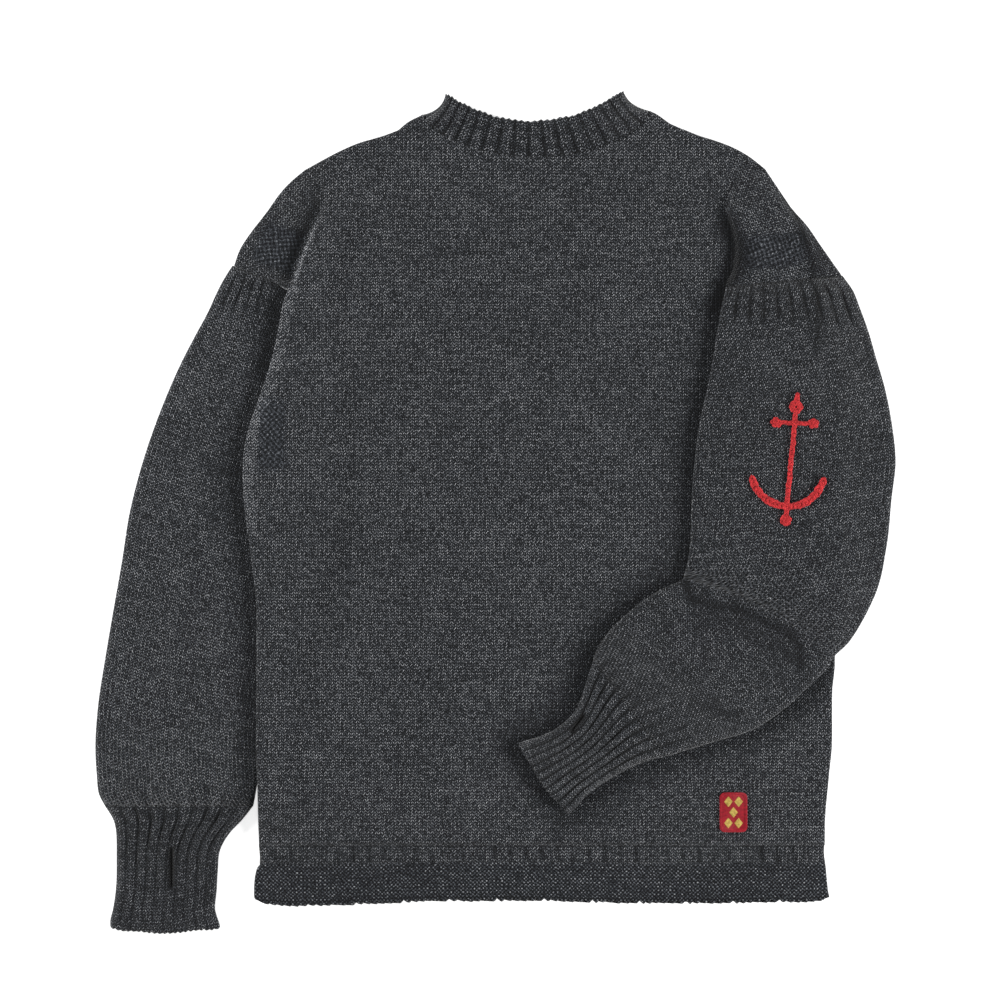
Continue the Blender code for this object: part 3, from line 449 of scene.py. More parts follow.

# %% [markdown]
# ## A shell of knitted cloth
#
# Cloth could be a flat sheet with a Solidify modifier, but two faces made on purpose can differ: a
# fine one that shows, and a plain one inside. So each piece is a closed shell of grids of points,
# and every point carries two things besides its place. Its knitting coordinates say how far across
# and how far along the knitting it is, so the stitches keep their real size and run with the cloth.
# Its form says where it is moss stitch or garter stitch, and how much shade, or below 0 highlight, is
# painted on it.

# %% A shell from grids
class Knit:
    """Collects grids of points and the faces between them, then makes one mesh."""

    def __init__(self):
        self.points, self.knit, self.form, self.faces = [], [], [], []
        self.corners = []  # a face's own knitting coordinates, or None for those of its points
        self.count = 0

    def grid(self, x, y, z, across, up, moss=0.0, garter=0.0, shade=0.0):
        """Adds points, in millimetres, and returns their numbers in the same rows and columns."""
        shape = np.broadcast_shapes(*(np.shape(a) for a in (x, y, z, across, up)))
        flat = lambda values: np.broadcast_to(values, shape).ravel()
        self.points.append(np.stack([flat(x), flat(y), flat(z)], 1) * MM)
        self.knit.append(np.stack([flat(across), flat(up)], 1) * MM)
        self.form.append(np.stack([flat(moss), flat(garter), flat(shade), flat(1.0)], 1))
        numbers = self.count + np.arange(int(np.prod(shape))).reshape(shape)
        self.count += numbers.size
        return numbers

    def weave(self, numbers, turned=None):
        """A face in each cell of a grid. turned gives them knitting coordinates of their own."""
        cells = lambda a: np.stack([a[:-1, :-1], a[:-1, 1:], a[1:, 1:], a[1:, :-1]], -1).reshape(-1, 4)
        faces = cells(numbers).tolist()
        self.faces += faces
        if turned is None:
            self.corners += [None] * len(faces)
        else:
            self.corners += (np.stack([cells(turned[0]), cells(turned[1])], -1) * MM).tolist()

    def ribbon(self, one, other):
        """Triangles between two rows that run side by side and may have different counts."""
        places = [self.shares(one), self.shares(other)]
        i = j = 0
        while i < len(one) - 1 or j < len(other) - 1:
            if j == len(other) - 1 or (i < len(one) - 1 and places[0][i + 1] <= places[1][j + 1]):
                self.faces.append([int(one[i]), int(one[i + 1]), int(other[j])])
                i += 1
            else:
                self.faces.append([int(one[i]), int(other[j + 1]), int(other[j])])
                j += 1
            self.corners.append(None)

    def shares(self, row):
        """Each point's share of the row's length, seen from above."""
        if not hasattr(self, "all_points") or len(self.all_points) != self.count:
            self.all_points = np.concatenate(self.points)
        steps = np.hypot(*np.diff(self.all_points[row][:, :2], axis=0).T)
        return np.concatenate([[0.0], np.cumsum(steps)]) / max(steps.sum(), 1e-9)

    def close_slab(self, top, bottom):
        """The four side faces between an upper and a lower grid."""
        for end in (0, -1):
            self.ribbon(top[end], bottom[end])
        for side in (0, -1):
            self.ribbon(top[:, side], bottom[:, side])

    def piece(self, name, material):
        """The mesh object, shaded smooth, with its knitting coordinates and its form."""
        mesh = bpy.data.meshes.new(name)
        knit = np.concatenate(self.knit)
        mesh.from_pydata(np.concatenate(self.points).tolist(), [], self.faces)
        corners = [knit[f] if c is None else np.array(c) for f, c in zip(self.faces, self.corners)]
        layer = mesh.uv_layers.new(name="knit")
        layer.uv.foreach_set("vector", np.concatenate(corners).astype(np.float32).ravel())
        shape = bmesh.new()
        shape.from_mesh(mesh)
        bmesh.ops.recalc_face_normals(shape, faces=shape.faces[:])
        shape.to_mesh(mesh)
        shape.free()
        form = mesh.color_attributes.new("form", "FLOAT_COLOR", "POINT")
        form.data.foreach_set("color", np.concatenate(self.form).astype(np.float32).ravel())
        mesh.shade_smooth()
        mesh.materials.append(material)
        made = bpy.data.objects.new(name, mesh)
        bpy.context.scene.collection.objects.link(made)
        area = sum(f.area for f in mesh.polygons) / 2
        triangles = sum(len(f.vertices) - 2 for f in mesh.polygons)
        print(f"{name}: {triangles} triangles, {area:.3f} square metres of cloth")
        return made


print("a shell keeps:", ", ".join(vars(Knit())))

# %% [markdown]
# ## The wool
#
# Worsted wool in a heather mix: a charcoal yarn with paler fibres in it, so each stitch has its own
# tone and some catch the light as pale flecks. In stocking stitch each stitch is a V, two arms that
# lean together, and the twist of the yarn makes one arm stand out more than the other. Modelled
# yarn would take some hundred thousand loops. Here the V comes from two sawteeth: one counts the
# stitches across, the other counts the rows and is delayed towards the outside of the stitch. The
# gaps between the arms are dark and low.

# %% Node arithmetic
class Paint:
    """Adds nodes to a material: each call makes one node and returns its output."""

    def __init__(self, name):
        self.material = bpy.data.materials.new(name)
        self.material.use_nodes = True
        self.nodes = self.material.node_tree.nodes
        self.links = self.material.node_tree.links
        self.shader = self.nodes["Principled BSDF"]

    def put(self, socket, value):
        if isinstance(value, bpy.types.NodeSocket):
            self.links.new(value, socket)
        else:
            socket.default_value = value

    def math(self, operation, *values):
        node = self.nodes.new("ShaderNodeMath")
        node.operation = operation
        for socket, value in zip(node.inputs, values):
            self.put(socket, value)
        return node.outputs[0]

    def times(self, a, b):
        return self.math("MULTIPLY", a, b)

    def scaled(self, value, factor, more=0.0):
        """The value times a factor, plus some more."""
        return self.math("MULTIPLY_ADD", value, factor, more)

    def wave(self, value, factor, more=0.0):
        """The sine of that."""
        return self.math("SINE", self.scaled(value, factor, more))

    def mix(self, share, a, b):
        node = self.nodes.new("ShaderNodeMix")
        for name, value in zip(("Factor", "A", "B"), (share, a, b)):
            self.put(node.inputs[name], value)
        return node.outputs["Result"]

    def pair(self, x, y):
        node = self.nodes.new("ShaderNodeCombineXYZ")
        self.put(node.inputs[0], x)
        self.put(node.inputs[1], y)
        return node.outputs[0]

    def knit_place(self):
        """The knitting coordinates that every shell carries."""
        node = self.nodes.new("ShaderNodeUVMap")
        node.uv_map = "knit"
        return node.outputs[0]

    def split(self, kind, vector):
        node = self.nodes.new(kind)
        self.links.new(vector, node.inputs[0])
        return node.outputs

    def noise(self, vector, scale, detail=1.0, roughness=0.5):
        node = self.nodes.new("ShaderNodeTexNoise")
        self.links.new(vector, node.inputs["Vector"])
        for name, value in (("Scale", scale), ("Detail", detail), ("Roughness", roughness)):
            node.inputs[name].default_value = value
        return node.outputs["Fac"]

    def chance(self, vector):
        node = self.nodes.new("ShaderNodeTexWhiteNoise")
        node.noise_dimensions = "2D"
        self.links.new(vector, node.inputs["Vector"])
        return node.outputs["Value"]

    def ramp(self, value, stops):
        node = self.nodes.new("ShaderNodeValToRGB")
        elements = node.color_ramp.elements
        while len(elements) < len(stops):
            elements.new(0.5)
        for element, (place, colour) in zip(elements, stops):
            element.position = place
            element.color = (*colour, 1.0)
        self.links.new(value, node.inputs[0])
        return node.outputs[0]

    def bump(self, height, depth, strength):
        node = self.nodes.new("ShaderNodeBump")
        node.inputs["Strength"].default_value = strength
        node.inputs["Distance"].default_value = depth
        self.links.new(height, node.inputs["Height"])
        self.links.new(node.outputs[0], self.shader.inputs["Normal"])

    def finish(self, **sockets):
        for name, value in sockets.items():
            self.put(self.shader.inputs[name.replace("_", " ")], value)
        return self.material


print("node helpers:", ", ".join(name for name in vars(Paint) if not name.startswith("_")))

# %% The three stitches
STITCH_WIDTH, STITCH_HEIGHT = 0.00355, 0.0027  # metres, as the knitting coordinates
ARM_SLANT = 0.95  # rows that an arm climbs from the middle of its stitch outwards
ARM_CROWN, ARM_FOOT = 0.64, 0.39  # an arm's roundness across, and what is left in its gaps
LEFT_ARM, RIGHT_ARM = 1.1, 1.95  # how strongly each arm's relief shows
MOSS_ACROSS, MOSS_UP = 1.4, 1.0  # moss knots for each stitch and row
MOSS_WANDER = 5.0  # how far the knots stray from a straight net
GARTER_UP = 0.78  # garter ridges for each row


def stocking_stitch(paint, across, up):
    """The relief of the V stitches, and the number of the course that each arm belongs to."""
    in_stitch = paint.math("FRACT", across)
    side = paint.times(paint.math("ABSOLUTE", paint.math("SUBTRACT", in_stitch, 0.5)), 2.0)
    course = paint.math("SUBTRACT", up, paint.times(side, ARM_SLANT))
    hump = paint.wave(paint.math("FRACT", course), math.pi)
    arm = paint.scaled(paint.wave(side, math.pi), ARM_CROWN, ARM_FOOT)
    right = paint.math("GREATER_THAN", in_stitch, 0.5)
    twist = paint.scaled(right, RIGHT_ARM - LEFT_ARM, LEFT_ARM)
    relief = paint.math("SUBTRACT", paint.math("POWER", hump, 1.5), 0.56)
    middle = paint.scaled(twist, -0.11, 0.68)  # so that both arms are about as light on the whole
    return paint.times(arm, paint.scaled(relief, twist, middle)), course


def moss_stitch(paint, across, up, wobble):
    """Knots in a loose net, like seeds."""
    columns = paint.wave(across, math.pi * MOSS_ACROSS, paint.times(wobble, MOSS_WANDER))
    rows = paint.wave(up, math.pi * MOSS_UP, paint.times(wobble, -MOSS_WANDER))
    return paint.scaled(paint.times(columns, rows), 0.36, 0.5)


def garter_stitch(paint, across, up):
    """The loops along the ridges of garter stitch."""
    columns = paint.wave(across, math.tau)
    rows = paint.wave(up, math.tau * GARTER_UP)
    return paint.scaled(paint.times(columns, rows), 0.62, 0.52)


print("stitches in 10 cm:", round(0.1 / STITCH_WIDTH), "across and", round(0.1 / STITCH_HEIGHT), "up")

# %% Heathered yarn
CHARCOAL_STOPS = [
    (0.0, (0.0010, 0.0012, 0.0016)),
    (0.20, (0.0074, 0.0086, 0.0110)),
    (0.45, (0.0450, 0.0500, 0.0585)),
    (0.75, (0.142, 0.154, 0.174)),
    (1.0, (0.45, 0.455, 0.47)),
]
OWN_TONE, SLUB_TONE, CLOUD_TONE = 0.34, 0.36, 0.16  # by the arm, along a course, and over a hand's width
FIBRE_TONE, FIBRE_LOW = 2.9, -1.15  # the fleck of single fibres


def heather(paint, place, across, up, course):
    """The yarn's own tone at each point, before the relief shades it."""
    arm = paint.pair(paint.math("FLOOR", paint.times(across, 2.0)), paint.math("FLOOR", course))
    fibre = paint.noise(place, 820.0, 2.0, 0.75)
    slub = paint.noise(paint.pair(paint.times(across, 0.12), paint.times(up, 0.9)), 1.0, 1.0)
    cloud = paint.noise(paint.pair(across, up), 0.035, 2.0)
    tone = paint.scaled(paint.chance(arm), OWN_TONE, paint.scaled(fibre, FIBRE_TONE, FIBRE_LOW))
    tone = paint.math("ADD", tone, paint.scaled(slub, SLUB_TONE, -SLUB_TONE / 2))
    return paint.math("ADD", tone, paint.scaled(cloud, CLOUD_TONE, -CLOUD_TONE / 2))


print("tones of the yarn:", len(CHARCOAL_STOPS))

# %% The knitted wool
WOBBLE = 0.9  # stitches by which the knitting strays from a straight net
SHADE_LOWERS, SHADE_DIMS = 0.24, 0.42  # how a shade of 1 lowers the wool's light, and its contrast


def knitted_wool(name):
    """Heathered charcoal wool: V stitches, with moss and garter stitch where the form says so."""
    paint = Paint(name)
    place = paint.knit_place()
    x, y, _ = paint.split("ShaderNodeSeparateXYZ", place)
    form = paint.nodes.new("ShaderNodeAttribute")
    form.attribute_name = "form"
    moss, garter, shade = paint.split("ShaderNodeSeparateColor", form.outputs["Color"])
    wobble = paint.scaled(paint.noise(place, 110.0, 1.0), WOBBLE, -WOBBLE / 2)
    across = paint.math("ADD", paint.math("DIVIDE", x, STITCH_WIDTH), wobble)
    up = paint.scaled(wobble, 0.7, paint.math("DIVIDE", y, STITCH_HEIGHT))
    plain, course = stocking_stitch(paint, across, up)
    height = paint.mix(moss, plain, moss_stitch(paint, across, up, wobble))
    height = paint.mix(garter, height, garter_stitch(paint, across, up))
    # The stitches' relief is painted into the wool's light, and the form's painted shade lowers it and its
    # contrast; a shade below 0 is a painted highlight.
    light = paint.scaled(height, 1.29, paint.scaled(shade, -SHADE_LOWERS, -0.02))
    light = paint.times(light, paint.scaled(shade, -SHADE_DIMS, 1.0))
    tone = heather(paint, place, across, up, course)
    paint.bump(height, 0.0008, 0.8)
    return paint.finish(
        Base_Color=paint.ramp(paint.times(tone, light), CHARCOAL_STOPS), Roughness=0.92,
        Specular_IOR_Level=0.12, Sheen_Weight=0.25, Sheen_Roughness=0.5,
    )


stocking_wool = knitted_wool("charcoal_wool_stocking_stitch")
ribbed_wool = knitted_wool("charcoal_wool_rib")
print("nodes in the wool:", len(stocking_wool.node_tree.nodes))

# %% [markdown]
# ## The body's two panels
#
# Front and back are knitted in one round and part only at the armholes. A net cut from a plain
# rectangle would step along the slanting seams. So both panels share one net whose rows run from the
# welt's seam to the yoke and then bend with the shoulders. Its columns follow the named places across
# the body, so its folded edge, the hidden sleeve's slope and the right shoulder's crest each have
# points of their own.

# %% The body's net
COLUMNS = [2, 2, 9, 5, 15, 7, 15, 52, 22, 5, 14, 3, 2, 2]
LOW_ROWS, ARMHOLE_ROWS, CAP_ROWS, YOKE_ROWS, SHOULDER_ROWS = 118, 12, 7, 14, 20
EDGE_STEP = 1.5
SHOULDER_BOW = 2.5  # the left shoulder's outline, beyond a straight line
BOW_END_X, BOW_RUN = -160.0, 45.0
STRAIGHT_END_Y = 164.0


def row_guides(y):
    """The named places across one row, from the body's left edge to its right edge."""
    left, right = float(left_x(y)), float(right_x(y))
    foot = max(float(along(LEFT_FOLD, y)) if y > SEAM_LOW_Y else left + 8.0, left + 6.5)
    under, right_foot = float(under_x(y)), float(along(RIGHT_FOLD, y))
    crest = min(float(along(RIGHT_CREST, y)) if y > SEAM_LOW_Y else right - 12.0, right - 7.0)
    return [
        left, left + EDGE_STEP, left + EDGE, foot, foot + FOLD_RUN, under, under + UNDER_RUN,
        NECK_LEFT_X, NECK_RIGHT_X, right_foot, right_foot + FOLD_RUN, crest, right - EDGE,
        right - EDGE_STEP, right,
    ]


def top_y(x):
    """The outline of the shoulders and the neckline."""
    return np.where(
        x < LEFT_TOP[-1][0], along(LEFT_TOP, x),
        np.where(x > RIGHT_TOP[0][0], along(RIGHT_TOP, x), arc_y(NECK_SEAM, x)),
    )


def fanned(share):
    """A place across the neck, -1 to 1, closer together towards the shoulders."""
    fan = math.radians(NECK_FAN_DEG)
    return np.sin((2 * share - 1) * fan) / math.sin(fan)


def top_row(counts):
    left, right = LEFT_TOP[0][0], RIGHT_TOP[-1][0]
    guides = [
        left, left + EDGE_STEP, left + EDGE, *TOP_LEFT_PLACES, LEFT_TOP[-1][0], RIGHT_TOP[0][0],
        *TOP_RIGHT_PLACES, right - EDGE, right - EDGE_STEP, right,
    ]
    x = spread(guides, counts)
    first, count = sum(counts[:7]), counts[7]
    neck = fanned(np.arange(1, count) / count)
    x[first + 1 : first + count] = NECK_SEAM.middle + NECK_SEAM.half * neck
    return x, top_y(x)


def body_net(counts, low, armhole, cap, yoke, shoulder):
    """x, y and the row's own height for every point of the body."""
    heights = np.concatenate([
        np.linspace(WELT_SEAM_Y, STRAIGHT_END_Y, low, endpoint=False),
        np.linspace(STRAIGHT_END_Y, SEAM_LOW_Y, armhole),
        np.linspace(SEAM_HIGH_Y, LEFT_SEAM_OUT[0], cap, endpoint=False),
        np.linspace(LEFT_SEAM_OUT[0], YOKE_Y, yoke),
    ])
    x = np.array([spread(row_guides(h), counts) for h in heights])
    y = heights[:, None] + seam_climb(heights[:, None], x)
    end_x, end_y = top_row(counts)
    length = np.hypot(end_x - x[-1], end_y - y[-1])
    shares = [np.full_like(length, s) * (1 - EDGE / length) for s in np.linspace(0, 1, shoulder)[1:]]
    shares += [1 - step / length for step in (3.2, 1.5, 0.6, 0.0)]
    last_x, last_y = x[-1], y[-1]
    bow = SHOULDER_BOW * smooth((BOW_END_X - last_x) / BOW_RUN)
    out_x, out_y = -(end_y - last_y) / length * bow, (end_x - last_x) / length * bow
    x = np.vstack([x] + [last_x + (end_x - last_x) * s + out_x * np.sin(np.pi * s) for s in shares])
    y = np.vstack([y] + [last_y + (end_y - last_y) * s + out_y * np.sin(np.pi * s) for s in shares])
    rows = np.append(heights, np.full(len(shares), YOKE_Y))[:, None]
    return x, y, rows


x, y, rows = body_net(COLUMNS, LOW_ROWS, ARMHOLE_ROWS, CAP_ROWS, YOKE_ROWS, SHOULDER_ROWS)
print("rows and columns of the body:", x.shape)


# %% Round edges
def rounding(x, y):
    """The share of the wall's thickness at each point: less towards a folded edge, not at a seam."""
    at_neck = (x[-1:] > LEFT_TOP[-1][0] - 0.1) & (x[-1:] < RIGHT_TOP[0][0] + 0.1)
    at_armhole = (y[:, :1] > SEAM_LOW_Y) & (y[:, :1] < LEFT_SEAM_OUT[0] - 0.1)
    near = np.hypot(x - x[-1:], y - y[-1:]) + np.where(at_neck, FAR, 0.0)
    near = np.minimum(near, np.hypot(x - x[:, :1], y - y[:, :1]) + np.where(at_armhole, FAR, 0.0))
    near = np.minimum(near, np.hypot(x - x[:, -1:], y - y[:, -1:]))
    inward = np.clip(near / EDGE, 0, 1)
    return EDGE_HEIGHT + (1 - EDGE_HEIGHT) * np.sqrt(1 - (1 - inward) ** 2)


print("thinnest at an edge:", float(rounding(x, y).min()))


# %% How high the front lies
def front_height(x, y, rows):
    """The front's upper face: raised by what lies under it, with its folds and creases."""
    free = free_share(x, y)
    loft = np.maximum(BODY_LOFT + creased(x, y, BODY_CREASES), 0.0) * free
    hidden = np.maximum(left_heap(x, y) - lift(x, y), 0.0) + right_heap(x, y, rows)
    wave = 0.35 * swell(x, y, 55.0, 3) * free
    return lift(x, y) + BODY_TOP + loft + hidden + wave + creased(x, y, CAP_CREASES) * smooth(hidden / 2.0)


def front_low(x, y):
    loft = np.maximum(BODY_LOFT + creased(x, y, BODY_CREASES), 0.0) * free_share(x, y)
    return lift(x, y) + WALL + LAYER_GAP + loft


print("highest place of the front, mm:", round(float(front_height(x, y, rows).max()), 1))

# %% [markdown]
# ## What the front's wool shows
#
# Beside the folds the wool gets painted shade, and its smooth left edge a painted highlight where it
# would catch the light. At the armholes a guernsey has borders of moss stitch, with knots in place of
# the V stitches. Both could be materials of their own with sharp borders. Here they are numbers that
# each point carries, so they fade into the plain knitting as they do in wool.

# %% Shade on the front
# Painted shade beside the left shoulder's fold, and a painted highlight along the body's left edge and the
# fold's ridge.
FOLD_DUSK, FOLD_DUSK_WIDTH, FOLD_DUSK_OUT = 1.0, 8.0, 3.5  # beside the left shoulder's fold
PAINTED_EDGE_HIGHLIGHT = 0.5  # the left edge's smooth curve catches the light


def shade_on_body(x, y):
    """Painted shade where little light reaches, at the feet of the shoulders' folds and along the right
    sleeve, less a painted highlight on the left edge and the left fold's ridge.
    """
    high = smooth((y - SEAM_LOW_Y) / 8.0)
    past = x - along(LEFT_FOLD, y)
    left = FOLD_DUSK * np.exp(-(((past + FOLD_DUSK_OUT) / FOLD_DUSK_WIDTH) ** 2))
    left = left * smooth((LEFT_FOLD_TOP - y) / 60.0) * smooth((0.5 - past) / 2.5)
    right = dimmed(x, y, CAP_DUSKS) * (x > along(RIGHT_FOLD, y)) * high
    cap = np.maximum(left * (y > SEAM_LOW_Y), right)
    low = dimmed(x, y, [PAINTED_SHADOW_OF_THE_ARM, PAINTED_SHADOW_OF_THE_FOREARM]) * (y < SEAM_LOW_Y)
    edge = 1 - smooth((x - left_x(np.minimum(y, SEAM_LOW_Y)) - 7.0) / 7.0)
    edge = edge * smooth((y + 40.0) / 50.0) * (y <= SEAM_LOW_Y)
    ridge = smooth((past + 0.5) / 1.5) * smooth((6.0 - past) / 3.0)
    edge = np.maximum(edge, ridge * (y > SEAM_LOW_Y) * smooth((268.0 - y) / 20.0))
    return np.maximum(np.maximum(cap, low), dimmed(x, y, [HOLLOW_PAINTED_SHADE])) - PAINTED_EDGE_HIGHLIGHT * edge


print("deepest shade on the front:", round(float(shade_on_body(x, y).max()), 2))

# %% Moss stitch on the front
SEAM_OUT_X, SEAM_OUT_Y = 0.361, 0.933  # straight up from the left armhole's seam


def window(value, low, high, low_run, high_run):
    """1 between two places, with an S of some length inside each."""
    return smooth((value - low) / low_run) * smooth((high - value) / high_run)


def moss_on_body(x, y):
    """The moss stitch borders beside the armholes."""
    strip = window(x, -215, -186, 7, 7) * window(y, 32, 106, 12, 14)
    seam_y, seam_x = LEFT_SEAM_OUT
    out = (x - seam_x) * SEAM_OUT_X + (y - seam_y) * SEAM_OUT_Y
    along_seam = (x - seam_x) * SEAM_OUT_Y - (y - seam_y) * SEAM_OUT_X
    left_cap = window(out, 8, 52, 8, 8) * smooth((along_seam - 10) / 7)
    left_cap = left_cap * (x < along(LEFT_FOLD, y)) * (y > SEAM_LOW_Y)
    above = y - SEAM_HIGH_Y - SEAM_SLOPE * np.maximum(x - SEAM_START_X, 0)
    right_cap = window(above, 11, 46, 7, 8) * window(x, 221, 281, 8, 7)
    return np.maximum(strip, np.maximum(left_cap, right_cap))


print("points in moss stitch:", int((moss_on_body(x, y) > 0.5).sum()))

# %% [markdown]
# ## The shells of front and back
#
# The net is now raised into two closed shells. In the folded shoulders the wool has turned with the
# fold, so the stitches there run another way: those faces get knitting coordinates of their own. A
# material for each shoulder would do the same with more to keep in step. The faces that nobody sees
# take fewer rows and columns, which keeps the model light.

# %% The front
LEFT_CAP_TURN_DEG, RIGHT_CAP_TURN_DEG = 51.0, -25.0  # how the stitches turn in the shoulders


def turned(x, y, degrees):
    """Knitting coordinates that are turned against the garment's own."""
    turn = math.radians(degrees)
    return x * math.cos(turn) + y * math.sin(turn), y * math.cos(turn) - x * math.sin(turn)


def thinned(count, step):
    """Every so many rows of a net, its first and last row among them."""
    return np.unique(np.append(np.arange(0, count, step), count - 1))


hidden_net = np.ix_(thinned(x.shape[0], 4), thinned(x.shape[1], 4))
front = Knit()
upper = front.grid(
    x, y, front_height(x, y, rows) - WALL * (1 - rounding(x, y)), x, y,
    moss=moss_on_body(x, y), shade=shade_on_body(x, y),
)
hx, hy = x[hidden_net], y[hidden_net]
lower = front.grid(hx, hy, front_low(hx, hy), hx, hy)
low_count = LOW_ROWS + ARMHOLE_ROWS
left_columns, right_columns = sum(COLUMNS[:3]), sum(COLUMNS[:9])
front.weave(upper[:low_count])
front.weave(upper[low_count - 1 :, left_columns : right_columns + 1])
left_cap = (slice(low_count - 1, None), slice(0, left_columns + 1))
right_cap = (slice(low_count - 1, None), slice(right_columns, None))
for cap, degrees in ((left_cap, LEFT_CAP_TURN_DEG), (right_cap, RIGHT_CAP_TURN_DEG)):
    front.weave(upper[cap], turned(x[cap], y[cap], degrees))
front.weave(lower)
front.close_slab(upper, lower)
front_piece = front.piece("front_knit", stocking_wool)

# %% The back
back = Knit()
upper = back.grid(hx, hy, lift(hx, hy) + WALL, hx, hy)
half_net = np.ix_(thinned(x.shape[0], 2), thinned(x.shape[1], 2))
bx, by = x[half_net], y[half_net]
give = 0.25 * (1 + swell(bx, by, 60.0, 5)) * free_share(bx, by)
lower = back.grid(bx, by, lift(bx, by) + WALL * (1 - rounding(bx, by)) + give, bx, by)
back.weave(upper)
back.weave(lower)
back.close_slab(lower, upper)
back_piece = back.piece("back_knit", stocking_wool)

# %% [markdown]
# ## Sleeves and cuffs
#
# A sleeve is a tube that lies flat: two walls that meet in rounded folds at its sides. It could be
# a round tube that a simulation lets fall, but then it would lie where it likes. Here a table has
# one row for each place where the real sleeve changes: the armhole, the band of ribs, the elbow's
# fold and the gathers above the cuff. Rings of points on smooth curves between the rows make the
# shell. The stitches run from the armhole down, and beyond the elbow's fold up from the cuff.

# %% The tables of sections
Section = namedtuple("Section", "inner_x inner_y outer_x outer_y bow loft ribs")
RIGHT_SLEEVE = [
    Section(207.0, 201.6, 312.6, 212.3, 0, 0.1, 0.0),
    Section(205.3, 193.5, 322.0, 199.0, 0, 1.5, 1.0),
    Section(203.0, 183.5, 328.0, 184.0, 0, 2.0, 1.0),
    Section(201.3, 174.0, 332.5, 172.0, 0, 2.3, 0.8),
    Section(199.5, 165.0, 336.0, 162.0, 0, 2.5, 0.0),
    Section(196.0, 142.0, 342.0, 141.0, 0, 2.8, 0.0),
    Section(190.5, 112.0, 350.5, 112.0, 0, 3.0, 0.0),
    Section(183.0, 78.0, 357.0, 79.0, 0, 3.0, 0.0),
    Section(178.5, 42.0, 360.4, 45.0, 0, 3.0, 0.0),
    Section(176.0, 5.0, 356.8, 12.0, 0, 3.0, 0.0),
    Section(175.0, -28.0, 352.2, -32.0, 0, 3.0, 0.0),
    Section(171.5, -50.0, 341.8, -75.5, 2, 3.1, 0.0),
    Section(169.5, -57.0, 318.0, -117.0, 7, 3.2, 0.0),
    Section(168.5, -60.5, 303.5, -131.0, 9, 0.5, 0.0),
    Section(164.0, -63.0, 299.0, -139.5, 7, 1.6, 0.0),
    Section(145.0, -72.0, 284.0, -154.5, 3, 3.0, 0.0),
    Section(125.0, -86.0, 261.0, -176.0, 0, 3.0, 0.0),
    Section(107.0, -102.0, 231.0, -196.0, 0, 2.8, 0.0),
    Section(95.0, -117.0, 197.5, -206.5, 0, 2.4, 0.0),
    Section(88.6, -129.5, 168.0, -215.5, 0, 1.8, 0.6),
    Section(87.8, -133.6, 152.5, -220.4, 0, 1.4, 0.8),
]
RIGHT_CUFF = [
    Section(87.8, -133.6, 152.5, -220.4, 0, 1.4, 0.8),
    Section(83.0, -148.0, 137.0, -224.0, 0, 1.2, 1.0),
    Section(77.0, -167.0, 120.0, -231.0, 0, 1.0, 1.0),
    Section(69.5, -181.5, 104.5, -239.5, 0, 0.8, 1.0),
    Section(55.5, -194.0, 91.0, -248.0, 0, 0.8, 1.0),
    Section(40.0, -202.0, 80.0, -257.0, 0, 0.8, 1.0),
    Section(25.5, -206.0, 71.0, -267.5, -3, 1.0, 0.9),
    Section(21.0, -207.5, 66.5, -271.5, -4, 0.8, 0.5),
]
LEFT_SLEEVE = [
    Section(-162.6, 192.9, -236.9, 221.4, 0, 0.1, 0.0),
    Section(-161.0, 184.0, -241.9, 213.8, 0, 1.4, 1.0),
    Section(-158.0, 172.0, -248.6, 202.0, 0, 1.8, 1.0),
    Section(-156.5, 163.0, -253.6, 191.5, 0, 2.0, 0.8),
    Section(-155.0, 155.0, -258.0, 181.5, 0, 2.0, 0.0),
    Section(-153.0, 140.0, -269.0, 161.0, 0, 2.2, 0.0),
    Section(-149.5, 110.0, -284.5, 131.0, 0, 2.4, 0.0),
    Section(-148.0, 78.0, -302.0, 90.0, 0, 2.4, 0.0),
    Section(-149.5, 42.0, -317.0, 47.0, 0, 2.4, 0.0),
    Section(-154.5, 0.0, -329.3, 0.0, 0, 2.4, 0.0),
    Section(-163.0, -45.0, -336.5, -45.0, 0, 2.4, 0.0),
    Section(-174.5, -90.0, -344.0, -88.0, 0, 2.4, 0.0),
    Section(-186.5, -135.0, -352.0, -135.0, 0, 2.4, 0.0),
    Section(-197.5, -175.0, -358.0, -175.0, 0, 2.4, 0.0),
    Section(-207.0, -210.0, -360.4, -212.0, 0, 2.4, 0.0),
    Section(-213.5, -240.0, -359.0, -239.0, 0, 2.2, 0.0),
    Section(-216.5, -257.0, -357.0, -255.0, 0, 1.8, 0.25),
    Section(-218.0, -264.8, -351.9, -264.8, 0, 1.2, 0.5),
]
LEFT_CUFF = [
    Section(-218.0, -264.8, -351.9, -264.8, 0, 1.2, 0.5),
    Section(-228.0, -277.5, -344.4, -277.0, 0, 1.2, 1.0),
    Section(-240.0, -290.5, -341.6, -289.5, 0, 1.0, 1.0),
    Section(-248.0, -305.0, -341.2, -305.0, 0, 0.8, 1.0),
    Section(-250.0, -323.0, -341.2, -323.0, 0, 0.8, 1.0),
    Section(-251.0, -341.0, -342.0, -341.0, 0, 0.8, 1.0),
    Section(-252.5, -357.0, -344.5, -358.0, 0, 0.8, 1.0),
    Section(-248.5, -371.5, -347.0, -370.0, 3, 1.0, 0.6),
    Section(-248.0, -374.0, -347.0, -374.3, 4.3, 0.8, 0.2),
]
TUBE_RIBS = 10  # on the side that shows
RIGHT_SUPPORT = BODY_TOP + 0.3
SUPPORT_MARGIN, SUPPORT_RUN = 5.0, 30.0
COVER_MARGIN, COVER_RUN = 5.0, 26.0
print("right sleeve's widest place, mm:", max(s.outer_x - s.inner_x for s in RIGHT_SLEEVE))


# %% What a tube lies on, and what covers it
def on_table(section, width):
    """The places across a tube, and the height of what carries it there: here the table."""
    places = [0.0, EDGE, width * 0.35, width * 0.65, width - EDGE, width]
    return places, [0.0] * len(places)


